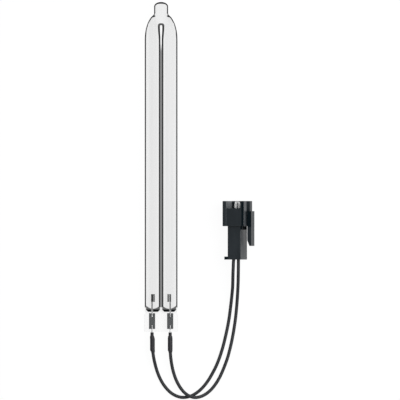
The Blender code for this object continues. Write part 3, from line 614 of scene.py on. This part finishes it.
def tube_rings(form):
    """Sections of the quartz from the nipple's tip to the end of the seal."""
    rings = []
    for angle in shares(6, 90, DOME_RINGS):
        distance = NIPPLE_DOME * (1 - math.cos(math.radians(angle)))
        half = form.width(distance)
        rings.append(form.ring(form.oval(half, half, 2.0), distance))
    for share in shares(0.0, 1.0, FLARE_RINGS):
        distance = NIPPLE_LENGTH + FLARE_LENGTH * share
        squareness = 2.0 + (SHOULDER_SQUARENESS - 2.0) * share
        quarter = form.oval(form.width(distance), form.height(distance), squareness)
        rings.append(form.ring(quarter, distance))
    crotch_end = GAP_TOP + GAP_LENGTH * CROTCH_SHARE
    for distance in shares(form.flare_end, CROWN_END, CROWN_RINGS)[1:]:
        quarter = form.oval(form.width(distance), form.height(distance), SHOULDER_SQUARENESS)
        rings.append(form.ring(quarter, distance))
    for share in shares(0.0, 1.0, CROTCH_RINGS)[1:-1]:
        distance = CROWN_END + (crotch_end - CROWN_END) * share
        width = form.width(distance)
        height = form.height(distance)
        oval = form.oval(width, height, SHOULDER_SQUARENESS)
        legs = form.legs(width, height, form.inner_edge(crotch_end) * share)
        rings.append(form.ring(blend_quarters(oval, legs, smooth_step(share)), distance))
    for share in shares(CROTCH_SHARE, GAP_LAST_SHARE, GAP_RINGS):
        distance = GAP_TOP + GAP_LENGTH * share
        quarter = form.legs(form.width(distance), form.height(distance), form.inner_edge(distance))
        rings.append(form.ring(quarter, distance))
    legs = form.straight_legs()
    for distance in shares(GAP_TOP + GAP_LENGTH + form.leg_radius, LEG_END, LEG_RINGS):
        rings.append(form.ring(legs, distance))
    shoulder = 2 * SEAL_EDGE_ROUND
    slab = form.slab(form.seal_half_width - shoulder, SEAL_HALF_THICKNESS)
    for share in [math.sin(math.radians(angle)) for angle in shares(8, 84, CLOSE_RINGS)]:
        drop = 1 - math.sqrt(1 - share * share)
        quarter = blend_quarters(legs, slab, drop)
        rings.append(form.ring(quarter, LEG_END + LEG_CLOSE_LENGTH * share))
    rings.append(form.ring(slab, SEAL_START))
    slab = form.slab(form.seal_half_width, SEAL_HALF_THICKNESS)
    rings.append(form.ring(slab, SEAL_START + shoulder))
    for angle in shares(0, 90, SEAL_END_RINGS):
        inset = SEAL_EDGE_ROUND * (1 - math.cos(math.radians(angle)))
        back = SEAL_EDGE_ROUND * (1 - math.sin(math.radians(angle)))
        slab = form.slab(form.seal_half_width - inset, SEAL_HALF_THICKNESS - inset)
        rings.append(form.ring(slab, SEAL_END - back))
    return rings


def closed_mesh(name, bm):
    """A smooth mesh with its faces turned outwards."""
    bmesh.ops.recalc_face_normals(bm, faces=bm.faces)
    mesh = bpy.data.meshes.new(name)
    bm.to_mesh(mesh)
    bm.free()
    mesh.shade_smooth()
    return mesh


def skin_mesh(name, rings, tip=None):
    """A closed skin over rings with equal point counts."""
    bm = bmesh.new()
    rows = [[bm.verts.new(point) for point in ring] for ring in rings]
    count = len(rows[0])
    for low, high in zip(rows, rows[1:]):
        for i in range(count):
            j = (i + 1) % count
            bm.faces.new((low[i], low[j], high[j], high[i]))
    if tip:
        apex = bm.verts.new(tip)
        for i in range(count):
            bm.faces.new((rows[0][i], rows[0][(i + 1) % count], apex))
    else:
        bm.faces.new(rows[0])
    bm.faces.new(rows[-1])
    return closed_mesh(name, bm)


def gap_cutter(form):
    """The teardrop through the fork, as a closed body."""
    right = []
    for share in shares(0.0, 1.0, CUTTER_HEAD_STEPS):
        distance = GAP_TOP + GAP_HEAD * (1 - math.cos(math.radians(90 * share)))
        right.append((form.gap(distance), station(distance)))
    for share in shares(0.0, CUTTER_LAST_SHARE, CUTTER_SIDE_STEPS)[1:]:
        distance = GAP_TOP + GAP_HEAD + (GAP_LENGTH - GAP_HEAD) * share
        right.append((form.gap(distance), station(distance)))
    outline = right + [(0.0, station(GAP_TOP + GAP_LENGTH))]
    outline += [(-x, y) for x, y in reversed(right[1:])]
    deep = 2 * form.leg_radius
    rings = [[(x, y, form.axis_z + z) for x, y in outline] for z in (-deep, deep)]
    return skin_mesh("gap_cutter", rings)


def cut_mesh(mesh, cutter_mesh):
    """A mesh with another cut out of it."""
    holder = new_object("cut_holder", mesh)
    cutter = new_object("cutter_holder", cutter_mesh)
    boolean = holder.modifiers.new("cut", "BOOLEAN")
    boolean.object = cutter
    boolean.solver = "EXACT"
    bpy.context.view_layer.update()
    depsgraph = bpy.context.evaluated_depsgraph_get()
    made = bpy.data.meshes.new_from_object(holder.evaluated_get(depsgraph))
    bpy.data.objects.remove(holder)
    bpy.data.objects.remove(cutter)
    made.shade_smooth()
    made.set_sharp_from_angle(angle=SHARP_ANGLE)
    return made


# Marks on the quartz, in millimetres: distances from the nipple's tip, widths from the lamp's axis
# or from a leg's. A pair says where a mark starts and where it is full, or gives two tones. Three
# numbers are the middle of a mark, its half length and its fade.
# The outline marks set painted shade standing in for refraction where the glass is seen edge on
TIP_END = (0.5, 0.9)
TIP_SOONER = 0.16
HEAD_END = (8.0, 10.0)
HEAD_SOONER = 0.05
RIM_TURN = (0.43, 0.53)
RIM_END = (129.2, 130.2)
RIM_ON_SEAL = 0.07
RIM_FLANK = (2.4, 3.2)
RIM_ON_TOP = 0.42
RIM_TONE = 0.98

# Where the outline starts sooner or later: the three numbers of a mark, and how much sooner
RIM_TOUCHES = (
    (3.0, 1.0, 0.8, -0.03),
    (5.25, 0.2, 0.35, -0.12),
    (6.15, 0.12, 0.4, 0.20),
    (11.0, 0.8, 2.4, -0.07),
)

# The two painted dark lines beside the seam, shade standing in for refraction where the legs fuse, which
# join in an arc over the gap
LINE_HEAD = GAP_TOP / MM + 0.5
ARC_RISE = (0.0, 0.5)
ARC_INSET = 0.10
ARC_THINNER = 0.08
ARC_PALER = 0.10
CROWN_PLACE = (LINE_HEAD - 0.8, 0.5, 0.3)
CROWN_SIDE = (2.4, 3.0)
LINE_INSET = (0.50, 0.44)
LINE_INSET_LENGTH = 5.6
LINE_WIDTH = (0.84, 0.50)
LINE_TONE = (0.80, 0.88)
LINE_LENGTH = 6.6
LINE_INNER_EDGE = (-0.10, 0.0)
LINE_OUTER_EDGE = (-0.08, 0.12)
LINE_SHIFT = 0.09
LINE_SHIFT_PLACE = (16.3, 1.4, 2.4)
LINE_END = (129.5, 130.0)
SEAM_HALF_WIDTH = (0.35, 0.50)
SEAM_START = (-5.5, -2.3)
SEAM_DEPTH = (1.5, 1.7)
SEAM_TONE = 0.51

# The painted black rounded ends of the bores, shade standing in for refraction where each bore closes
END_MIDDLE = 130.35
END_DISH = 1.15
END_HALF_WIDTH = 2.7
END_STOP = 131.66
END_CORNER = 2.1
END_SIDE = (2.85, 3.05)
LEAD_SIDE = (0.28, 0.42)
LEAD_TONE = 0.05
END_TONE = (0.64, 1.0)
END_TONE_STEP = (130.60, 130.80)
END_EDGE = (-0.15, 0.15)
STOP_EDGE = (-0.12, 0.12)

# The grey veil over the glass, with painted reflections as streaks along it and thinner towards each
# leg's sides, and the thin gloss on it
VEIL_STREAKS = (70.0, 1.2, 70.0)
VEIL_NOISE = (0.35, 0.65)
VEIL_TONE = (0.112, 0.142)
VEIL_SIDE = (0.8, 2.5)
VEIL_AT_SIDE = 0.68
VEIL_END = (131.2, 132.2)
VEIL_ON_SEAL = 0.35
# Where the painted shade turns the veil's grey to the dark tone
PAINTED_SHADE_COLOUR_AT = (0.15, 0.5)
SHEEN_TURN = (0.0, 0.9)
SHEEN = (0.004, 0.05)


def outline(facing, behind, side, height, tip):
    """Painted shade standing in for refraction where the glass is seen edge on, strongest on the flanks
    of the legs.
    """
    sooner = tip * TIP_SOONER + behind.ramp(*HEAD_END, HEAD_SOONER, 0.0)
    for middle, half, soft, amount in RIM_TOUCHES:
        sooner = sooner + behind.band(middle, half, soft) * amount
    crown = behind.band(*CROWN_PLACE) * (1 - side.ramp(*CROWN_SIDE))
    rim = (facing + sooner - crown).ramp(*RIM_TURN)
    rim = rim * behind.ramp(*RIM_END, 1.0, RIM_ON_SEAL)
    return rim * height.ramp(*RIM_FLANK, 1.0, RIM_ON_TOP) * RIM_TONE


def seam_lines(behind, side, height):
    """Painted shade standing in for refraction: the dark line on each side of the seam, and the grey
    groove between them.
    """
    above = (LINE_HEAD - behind).larger(0.0)
    arc = above.ramp(*ARC_RISE)
    shift = behind.band(*LINE_SHIFT_PLACE) * LINE_SHIFT
    inset = behind.ramp(LINE_HEAD, LINE_HEAD + LINE_INSET_LENGTH, *LINE_INSET)
    inset = inset + arc * ARC_INSET - shift
    width = behind.ramp(LINE_HEAD, LINE_HEAD + LINE_LENGTH, *LINE_WIDTH) - arc * ARC_THINNER + shift
    reach = (side ** 3 + above ** 3) ** (1 / 3) - inset
    on_legs = 1 - behind.ramp(*LINE_END)
    lines = reach.ramp(*LINE_INNER_EDGE) * (1 - (reach - width).ramp(*LINE_OUTER_EDGE)) * on_legs
    tone = behind.ramp(LINE_HEAD, LINE_HEAD + LINE_LENGTH, *LINE_TONE) - arc * ARC_PALER
    gap_end = (GAP_TOP + GAP_LENGTH) / MM
    groove = (1 - side.ramp(*SEAM_HALF_WIDTH)) * (behind - gap_end).ramp(*SEAM_START)
    return (lines * tone).larger(groove * on_legs * height.ramp(*SEAM_DEPTH) * SEAM_TONE)


def bore_ends(behind, side, off_leg):
    """The painted black end of each bore, shade standing in for refraction: dished above, with rounded
    corners below, and clear of the lead.
    """
    share = off_leg / END_HALF_WIDTH
    inside = (behind - (END_MIDDLE - share * share * END_DISH)).ramp(*END_EDGE)
    before = (END_STOP - (off_leg - END_CORNER).larger(0.0) - behind).ramp(*STOP_EDGE)
    beside = abs(side - LEAD_X / MM).ramp(*LEAD_SIDE, LEAD_TONE, 1.0)
    ends = inside * before * (1 - off_leg.ramp(*END_SIDE)) * beside
    return ends * behind.ramp(*END_TONE_STEP, *END_TONE)


def quartz_finish(colours):
    """Clear quartz: a faint grey veil, with painted shade standing in for refraction where it is seen
    edge on, where the legs fuse and at the bores' closed ends.
    """
    recipe = Recipe("clear_quartz")
    x, y, z = recipe.place()
    behind = LAMP_TOP_Y / MM - y
    side = abs(x)
    height = abs(z - LEG_RADIUS / MM)
    off_leg = abs(side - LEG_X / MM)
    facing = recipe.node("ShaderNodeLayerWeight", None, {"Blend": 0.5}, output="Facing")
    tip = 1 - behind.ramp(*TIP_END)
    ends = bore_ends(behind, side, off_leg)
    lines = seam_lines(behind, side, height)
    dark = outline(facing, behind, side, height, tip).larger(lines).larger(ends)

    # Painted reflections: streaks in the veil that run along the tube
    streak = recipe.noise(9.0, 4.0, recipe.stretched(VEIL_STREAKS))
    veil = streak.ramp(*VEIL_NOISE, *VEIL_TONE) * off_leg.ramp(*VEIL_SIDE, 1.0, VEIL_AT_SIDE)
    veil = veil * behind.ramp(*VEIL_END, 1.0, VEIL_ON_SEAL)
    # Painted shade: the outline, seam lines and bore ends darken the colour and hide what is behind
    edge = dark.ramp(*PAINTED_SHADE_COLOUR_AT)
    body = recipe.principled(
        Base_Color=recipe.blend(edge, solid(colours.quartz), solid(colours.quartz_painted_shade)),
        Roughness=0.3,
        Specular_IOR_Level=0.0,
        Alpha=veil.larger(dark),
    )
    gloss = recipe.principled(Base_Color=(0.9, 0.9, 0.9, 1.0), Metallic=1.0, Roughness=0.35)
    inner = recipe.node("ShaderNodeNewGeometry", output="Backfacing")
    sheen = facing.ramp(*SHEEN_TURN, *SHEEN) * (1 - inner) * (1 - ends) * (1 - tip)
    return recipe.finish(recipe.mix(sheen, body, gloss))


class LAMP_OT_quartz(bpy.types.Operator):
    """Draw the quartz tube with its fork, closed legs and pinch seal"""

    bl_idname = "lamp.quartz"
    bl_label = "Quartz tube"

    def execute(self, context):
        form = TubeForm(context.scene.lamp_sizes)
        skin = skin_mesh("quartz_skin", tube_rings(form), tip=(0, station(0), form.axis_z))
        mesh = cut_mesh(skin, gap_cutter(form))
        mesh.name = "quartz_tube"
        material = quartz_finish(context.scene.lamp_colours)
        add_piece("quartz_tube", mesh, material, "lamp", "quartz_envelope")
        return {"FINISHED"}


# Marks on the metal, in millimetres: leads from the nipple's tip, contacts in the connector's frame,
# cups and foils from the lamp's axis or a lead's. Each leg's cup has one painted dark side, painted shade
# on the side away from the other leg.
LEAD_BRIGHT_START = (130.7, 131.0)
CONTACT_EDGE = (0.34, 0.46)
CONTACT_UPPER = (0.0, 0.2)
LEG_SWITCH = (-0.1, 0.1)
CUP_SIDES = (3.36, 3.66)
CUP_FADE = (0.0, 0.16)
FOIL_EDGE = (0.7, 1.3)


def metal_finish(name, colour, metallic, roughness, grain, marks):
    """Bare metal with fine drawn lines and soft stains, darker where the marks are: the leads before the
    seal, and painted shade on the contacts.
    """
    recipe = Recipe(name)
    lines = recipe.noise(grain, 3.0, recipe.stretched((1.0, 0.12, 1.0)))
    stains = recipe.noise(900.0, 2.0)
    tone = (lines * 0.6 + stains * 0.4).ramp(0.3, 0.7)
    base = recipe.blend(tone, shade(colour, 0.78), shade(colour, 1.12))
    base = recipe.blend(marks(recipe), base, shade(colour, 0.16))
    surface = recipe.principled(
        Base_Color=base,
        Metallic=metallic,
        Roughness=tone.ramp(0.0, 1.0, roughness * 1.2, roughness * 0.8),
        Normal=recipe.bump(lines, 0.01 * MM, 0.4),
    )
    return recipe.finish(surface)


def lead_marks(recipe):
    """The leads are darker before the seal."""
    behind = LAMP_TOP_Y / MM - recipe.place()[1]
    return 1 - behind.ramp(*LEAD_BRIGHT_START)


def contact_marks(recipe):
    """Painted shade on the upper contact's edge beside the lower one."""
    across, along, up = plug_place(recipe, Vector((0, 0, 0)))
    return across.ramp(*CONTACT_EDGE) * up.ramp(*CONTACT_UPPER)


def cathode_finish(colours):
    """Coated nickel cup, with painted shade on the side that faces away from the other leg, and the right
    cup painted lighter.
    """
    recipe = Recipe("coated_nickel")
    x = recipe.place()[0]
    crust = recipe.noise(5200.0, 4.0)
    # Painted shade on each cup's outer side
    painted_outer_shade = (abs(x) - x.ramp(*LEG_SWITCH, *CUP_SIDES)).ramp(*CUP_FADE)
    tone = (painted_outer_shade + crust * 0.3).ramp(0.1, 1.1)
    # Painted light: the right cup's nickel is lighter than the left's
    nickel_painted_lighter_right = recipe.blend(x.ramp(*LEG_SWITCH), shade(colours.nickel, 1.1), shade(colours.nickel, 2.0))
    base = recipe.blend(tone, nickel_painted_lighter_right, shade(colours.nickel, 0.03))
    surface = recipe.principled(
        Base_Color=base,
        Metallic=tone.ramp(0.0, 0.8, 0.6, 0.0),
        Specular_IOR_Level=0.1,
        Roughness=crust.ramp(0.3, 0.7, 0.45, 0.7),
        Normal=recipe.bump(crust, 0.04 * MM, 0.6),
    )
    return recipe.finish(surface)


def foil_finish(colours):
    """Thin dark foil, etched towards its long edges."""
    recipe = Recipe("sealing_foil")
    x = recipe.place()[0]
    etched = abs(abs(x) - LEAD_X / MM).ramp(*FOIL_EDGE)
    crinkle = recipe.noise(1600.0, 4.0)
    tone = (crinkle * 0.8 + etched * 0.4).ramp(0.25, 0.95)
    base = recipe.blend(tone, shade(colours.foil, 1.15), shade(colours.foil, 0.62))
    surface = recipe.principled(
        Base_Color=base,
        Metallic=0.7,
        Roughness=crinkle.ramp(0.3, 0.7, 0.42, 0.6),
        Normal=recipe.bump(crinkle, 0.03 * MM, 0.5),
    )
    return recipe.finish(surface)


class LAMP_OT_seal_metal(bpy.types.Operator):
    """Finish the cathodes, leads, foils, splices and contacts"""

    bl_idname = "lamp.seal_metal"
    bl_label = "Cathodes, leads and contacts"

    def execute(self, context):
        colours = context.scene.lamp_colours
        nickel = cathode_finish(colours)
        foil = foil_finish(colours)
        lead = metal_finish(
            "lead_wire",
            colours.lead,
            metallic=1.0,
            roughness=0.35,
            grain=4000.0,
            marks=lead_marks,
        )
        tin = metal_finish(
            "tin_plate",
            colours.tin,
            metallic=0.25,
            roughness=0.45,
            grain=3000.0,
            marks=contact_marks,
        )
        for word in ("left", "right"):
            dress(f"cathode_{word}", nickel)
            dress(f"sealing_foil_{word}", foil)
            dress(f"inner_lead_{word}", lead)
            dress(f"outer_lead_{word}", lead)
            dress(f"splice_{word}", tin)
            dress(f"conductor_end_{word}", tin)
        dress("terminal_near", tin)
        dress("terminal_far", tin)
        return {"FINISHED"}


def rubber_finish(name, colour, roughness, grain, height):
    """Black rubber or plastic with a fine grain and a little dust."""
    recipe = Recipe(name)
    fine = recipe.noise(grain, 3.0)
    broad = recipe.noise(400.0, 3.0)
    tone = (fine * 0.5 + broad * 0.5).ramp(0.3, 0.7)
    surface = recipe.principled(
        Base_Color=recipe.blend(tone, shade(colour, 0.8), shade(colour, 1.35)),
        Roughness=tone.ramp(0.0, 1.0, roughness * 0.85, roughness * 1.15),
        Specular_IOR_Level=0.35,
        Normal=recipe.bump(fine, height, 0.3),
    )
    return recipe.finish(surface)


def turned_mesh(name, profile):
    """A closed body turned round Y from (radius, y) points of its section."""
    bm = bmesh.new()
    rows = []
    for i in range(TURN_STEPS):
        angle = math.tau * i / TURN_STEPS
        ring = [(radius * math.cos(angle), y, radius * math.sin(angle)) for radius, y in profile]
        rows.append([bm.verts.new(point) for point in ring])
    count = len(profile)
    for i in range(TURN_STEPS):
        row = rows[i]
        following = rows[(i + 1) % TURN_STEPS]
        for j in range(count):
            k = (j + 1) % count
            bm.faces.new((row[j], row[k], following[k], following[j]))
    mesh = closed_mesh(name, bm)
    mesh.set_sharp_from_angle(angle=SHARP_ANGLE)
    return mesh


def shrink_profile(radius):
    """Section of a shrink sleeve: a short rise at its mouth, and a tail that grips the wire."""
    length = SHRINK_END - SHRINK_START
    rise = SHRINK_RISE_SHARE * (SPLICE_START - SHRINK_START)
    ease = SHRINK_TAIL_EASE * SHRINK_TAIL_LENGTH
    points = [(SHRINK_BORE, 0.0)]
    for share in shares(0.0, 1.0, SLEEVE_STEPS):
        along = length * share
        over = smooth_step(along / rise)
        past = smooth_step((along - length + SHRINK_TAIL_LENGTH) / ease)
        outer = SHRINK_MOUTH_RADIUS + (radius - SHRINK_MOUTH_RADIUS) * over
        points.append((outer + (SHRINK_TAIL_RADIUS - radius) * past, -along))
    points.append((SHRINK_TAIL_BORE, -length))
    return points


class LAMP_OT_sleeves(bpy.types.Operator):
    """Draw the shrink sleeves and finish the lead sleeves"""

    bl_idname = "lamp.sleeves"
    bl_label = "Sleeves"

    def execute(self, context):
        sizes = context.scene.lamp_sizes
        colours = context.scene.lamp_colours
        black = colours.rubber
        rubber = rubber_finish("lead_sleeve", black, roughness=0.65, grain=9000.0, height=0.02 * MM)
        shrink = rubber_finish("heat_shrink", black, roughness=0.60, grain=5000.0, height=0.02 * MM)
        for side, word in ((-1, "left"), (1, "right")):
            dress(f"lead_sleeve_{word}", rubber)
            mesh = turned_mesh(f"shrink_{word}", shrink_profile(sizes.sleeve_radius))
            mouth, tail = SHRINK_LEAN[word]
            for vertex in mesh.vertices:
                share = -vertex.co.y / (SHRINK_END - SHRINK_START)
                vertex.co.x += mouth * smooth_step(share / MOUTH_LEAN_SHARE)
                vertex.co.x += tail * smooth_step((share - TAIL_LEAN_START) / TAIL_LEAN_SHARE)
            place = (side * LEAD_X, station(SHRINK_START), sizes.leg_radius)
            mesh.transform(Matrix.Translation(place))
            node = f"shrink_sleeve_{word}"
            add_piece(f"splice_sleeve_{word}", mesh, shrink, "lamp", node)
        return {"FINISHED"}


def smooth_route(route, step):
    """Evenly spaced points on a smooth curve through the route's points."""
    points = [Vector(point) * MM for point in route]
    padded = [2 * points[0] - points[1]] + points + [2 * points[-1] - points[-2]]
    fine = []
    for i in range(1, len(padded) - 2):
        before, start, end, after = padded[i - 1:i + 3]
        knots = [0.0]
        for first, second in ((before, start), (start, end), (end, after)):
            knots.append(knots[-1] + math.sqrt((second - first).length))
        k0, k1, k2, k3 = knots
        for j in range(ROUTE_STEPS):
            t = k1 + (k2 - k1) * j / ROUTE_STEPS
            a1 = before.lerp(start, (t - k0) / (k1 - k0))
            a2 = start.lerp(end, (t - k1) / (k2 - k1))
            a3 = end.lerp(after, (t - k2) / (k3 - k2))
            b1 = a1.lerp(a2, (t - k0) / (k2 - k0))
            b2 = a2.lerp(a3, (t - k1) / (k3 - k1))
            fine.append(b1.lerp(b2, (t - k1) / (k2 - k1)))
    fine.append(points[-1])
    length = sum((b - a).length for a, b in zip(fine, fine[1:]))
    count = round(length / step)
    spaced = [fine[0]]
    travelled = 0.0
    for a, b in zip(fine, fine[1:]):
        travelled += (b - a).length
        if travelled >= length * len(spaced) / count and len(spaced) < count:
            spaced.append(b)
    return spaced + [fine[-1]], length


class LAMP_OT_wires(bpy.types.Operator):
    """Lay the two insulated wires from the splices to the connector"""

    bl_idname = "lamp.wires"
    bl_label = "Wires"

    def execute(self, context):
        sizes = context.scene.lamp_sizes
        black = context.scene.lamp_colours.insulation
        skin = rubber_finish("wire_insulation", black, roughness=0.60, grain=7000.0, height=0.01 * MM)
        for side, word, route in ((-1, "left", WIRE_LEFT_ROUTE), (1, "right", WIRE_RIGHT_ROUTE)):
            points, length = smooth_route(route, WIRE_STEP)
            name = f"insulated_wire_{word}"
            curve = bpy.data.curves.new(name, "CURVE")
            curve.dimensions = "3D"
            curve.bevel_depth = sizes.wire_radius
            curve.bevel_resolution = 6
            curve.use_fill_caps = True
            spline = curve.splines.new("POLY")
            spline.points.add(len(points) - 1)
            for point, place in zip(spline.points, points):
                point.co = (*place, 1)
            spline.use_smooth = True
            wire = add_piece(name, curve, skin, "lamp", f"wire_{word}")
            station(WIRE_START)
        return {"FINISHED"}


def plug_place(recipe, origin):
    """A point in the connector's own frame, in millimetres: across, along and towards the top."""
    x, y, z = recipe.place()
    x = x + (origin - PLUG_PLACE).x / MM
    z = z + (origin - PLUG_PLACE).z / MM
    turn, lean = math.cos(PLUG_ROLL), math.sin(PLUG_ROLL)
    return x * turn + z * lean, y + (origin - PLUG_PLACE).y / MM, z * turn - x * lean


def nylon_finish(name, colours, origin, marks):
    """Moulded black nylon: fine spark texture, faint flow lines, glossless areas darkened as painted
    shade, and pale areas of painted light.
    """
    recipe = Recipe(name)
    matt_and_painted_shade, pale = marks(*plug_place(recipe, origin))
    spark = recipe.noise(6500.0, 3.0)
    flow = recipe.noise(260.0, 3.0, recipe.stretched((1.0, 0.3, 1.0)))
    tone = (spark * 0.35 + flow * 0.65).ramp(0.3, 0.7)
    base = recipe.blend(tone, shade(colours.nylon, 0.85), shade(colours.nylon, 1.25))
    # Painted light where the pale marks are
    base = recipe.blend(pale, base, solid(colours.nylon_painted_light))
    gloss = recipe.principled(
        Base_Color=base,
        Roughness=tone.ramp(0.0, 1.0, 0.36, 0.5),
        Normal=recipe.bump(spark, 0.02 * MM, 0.35),
    )
    # Painted shade: a darker copy of the nylon without gloss
    dull = recipe.principled(
        Base_Color=shade(colours.nylon, 0.9),
        Roughness=0.8,
        Specular_IOR_Level=0.0,
        Normal=recipe.bump(spark, 0.02 * MM, 0.35),
    )
    return recipe.finish(recipe.mix(matt_and_painted_shade, gloss, dull))


# Marks on the connector, in millimetres of its own frame: across, along and towards the top
# The strip, pocket, flange and low-edge marks are painted shade, darker and glossless; the pale wall
# marks are painted light
HOOD_START = (14.15, 14.25)
POCKET_START = (12.70, 12.80)
POCKET_SIDE = (2.6, 2.9)
SHADE_STRIP_ACROSS = (4.20, 0.40, 0.22)
SHADE_STRIP_UP = (4.6, 4.8)
FLANGE_SIDE = (-3.15, -3.05)
FLANGE_END = (1.25, 1.35)
LOW_EDGE_SIDE = (2.6, 2.8)
LOW_EDGE_UP = (-3.6, -2.9)
LOW_EDGE_SHARE = 0.55
# Painted light on the hood's wall beside the latch and the left wall inside the mouth
PALE_WALL_SIDE = (4.75, 4.90)
PALE_WALL_UP = (2.3, 2.6)
PALE_WALL_SHARE = 0.22
LEFT_WALL_ACROSS = (-3.25, 0.04, 0.04)
LEFT_WALL_UP = (-2.4, -1.8)
LEFT_WALL_FADE = (0.0, 3.8)
LEFT_WALL_SHARE = 0.55
# Painted shade on the lever's side faces
LEVER_SIDE = (1.80, 1.88)
LEVER_HOOD = (13.5, 14.2)
LEVER_SHARE = 0.3


def housing_marks(across, along, up):
    """Painted shade as a dark glossless strip beside the latch and round its pocket, on the flange and
    low on the side; painted light on the pale walls they leave.
    """
    # Painted shade: a dark glossless strip beside the latch, and on the body round the pocket, on the
    # flange and low on the side
    hood = along.ramp(*HOOD_START)
    groove = across.band(*SHADE_STRIP_ACROSS) * up.ramp(*SHADE_STRIP_UP) * hood
    pocket = across.ramp(*POCKET_SIDE) * along.ramp(*POCKET_START) * (1 - hood)
    flange = (1 - across.ramp(*FLANGE_SIDE)) * (1 - along.ramp(*FLANGE_END))
    low_edge = across.ramp(*LOW_EDGE_SIDE) * (1 - up.ramp(*LOW_EDGE_UP)) * (1 - hood) * LOW_EDGE_SHARE
    # Painted light on the hood's wall beside the latch
    beside = across.ramp(*PALE_WALL_SIDE) * up.ramp(*PALE_WALL_UP) * hood * PALE_WALL_SHARE
    # Painted light on the left wall inside the mouth
    painted_light_left_wall = across.band(*LEFT_WALL_ACROSS) * up.ramp(*LEFT_WALL_UP)
    painted_light_left_wall = painted_light_left_wall * up.ramp(*LEFT_WALL_FADE, 1.0, LEFT_WALL_SHARE)
    return groove.larger(pocket).larger(flange).larger(low_edge), beside.larger(painted_light_left_wall)


def lever_marks(across, along, up):
    """Painted shade on the lever's side faces, darker and glossless, most of all beside the hood."""
    return abs(up).ramp(*LEVER_SIDE) * along.ramp(*LEVER_HOOD, LEVER_SHARE, 1.0), up * 0.0


class LAMP_OT_connector(bpy.types.Operator):
    """Finish the connector housing and its latch"""

    bl_idname = "lamp.connector"
    bl_label = "Connector"

    def execute(self, context):
        colours = context.scene.lamp_colours
        for node, marks in (("connector_housing", housing_marks), ("latch_lever", lever_marks)):
            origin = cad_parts[node].matrix_world.translation
            dress(node, nylon_finish(f"black_nylon_{node}", colours, origin, marks))
        return {"FINISHED"}


def surface_finish(colours):
    """Pale surface that is seen white, and keeps a part of the shadow."""
    recipe = Recipe("pale_surface")
    card = recipe.principled(Base_Color=solid(colours.surface), Roughness=0.8)
    white = recipe.node("ShaderNodeEmission", None, {"Color": WHITE, "Strength": 1.0})
    return recipe.finish(recipe.mix(recipe.seen() * SURFACE_WHITE_SHARE, card, white))


def studio_world():
    """Pale light all round, less of it from overhead, and white where it is seen directly."""
    recipe = Recipe(bpy.data.worlds.new("studio"))
    height = recipe.split(recipe.node("ShaderNodeTexCoord", output="Generated"))[2]
    tone = recipe.blend(height.ramp(*SKY_RISE), SKY_LOW, SKY_HIGH)
    light = recipe.node("ShaderNodeBackground", None, {"Color": tone})
    backdrop = recipe.node("ShaderNodeBackground", None, {"Color": WHITE})
    direct = recipe.node("ShaderNodeLightPath", output="Is Camera Ray")
    bpy.context.scene.world = recipe.finish(recipe.mix(direct, light, backdrop))


def add_lamp(name, place, size, power):
    """A soft square lamp aimed at the middle of the part."""
    data = bpy.data.lights.new(name, "AREA")
    data.shape = "SQUARE"
    data.size = size
    data.energy = power
    lamp = new_object(name, data)
    lamp.location = place
    aim = Vector(LAMP_AIM) - Vector(place)
    lamp.rotation_euler = aim.to_track_quat("-Z", "Y").to_euler()


class LAMP_OT_stage(bpy.types.Operator):
    """Set the pale surface, the soft lamps and the camera"""

    bl_idname = "lamp.stage"
    bl_label = "Stage"

    def execute(self, context):
        scene = context.scene
        bm = bmesh.new()
        bmesh.ops.create_grid(bm, x_segments=1, y_segments=1, size=SURFACE_HALF_WIDTH)
        mesh = bpy.data.meshes.new("pale_surface")
        bm.to_mesh(mesh)
        bm.free()
        mesh.materials.append(surface_finish(scene.lamp_colours))
        new_object("pale_surface", mesh)
        studio_world()
        add_lamp("key", KEY_PLACE, KEY_SIZE, KEY_POWER)
        add_lamp("fill", FILL_PLACE, FILL_SIZE, FILL_POWER)
        data = bpy.data.cameras.new("view_from_above")
        data.type = "ORTHO"
        data.ortho_scale = VIEW_WIDTH
        data.clip_start = 0.01
        camera = new_object("view_from_above", data)
        camera.location = CAMERA_PLACE
        scene.camera = camera
        scene.view_settings.view_transform = "Standard"
        return {"FINISHED"}


class LAMP_PT_looks(bpy.types.Panel):
    """The lamp's pieces, sizes and colours"""

    bl_label = "Lamp looks"
    bl_idname = "LAMP_PT_looks"
    bl_space_type = "VIEW_3D"
    bl_region_type = "UI"
    bl_category = "Lamp"

    def draw(self, context):
        layout = self.layout
        for operator in OPERATORS:
            layout.operator(operator.bl_idname)
        for group in (context.scene.lamp_sizes, context.scene.lamp_colours):
            box = layout.box()
            for name in group.bl_rna.properties.keys():
                if name not in ("rna_type", "name"):
                    box.prop(group, name)


OPERATORS = (
    LAMP_OT_stage,
    LAMP_OT_quartz,
    LAMP_OT_seal_metal,
    LAMP_OT_sleeves,
    LAMP_OT_wires,
    LAMP_OT_connector,
)
CLASSES = (LampSizes, LampColours, *OPERATORS, LAMP_PT_looks)


def register():
    for cls in CLASSES:
        bpy.utils.register_class(cls)
    bpy.types.Scene.lamp_sizes = bpy.props.PointerProperty(type=LampSizes)
    bpy.types.Scene.lamp_colours = bpy.props.PointerProperty(type=LampColours)


def unregister():
    del bpy.types.Scene.lamp_colours
    del bpy.types.Scene.lamp_sizes
    for cls in reversed(CLASSES):
        bpy.utils.unregister_class(cls)


def main():
    register()
    bpy.ops.lamp.stage()
    bpy.ops.lamp.quartz()
    bpy.ops.lamp.seal_metal()
    bpy.ops.lamp.sleeves()
    bpy.ops.lamp.wires()
    bpy.ops.lamp.connector()


if __name__ == "__main__":
    main()
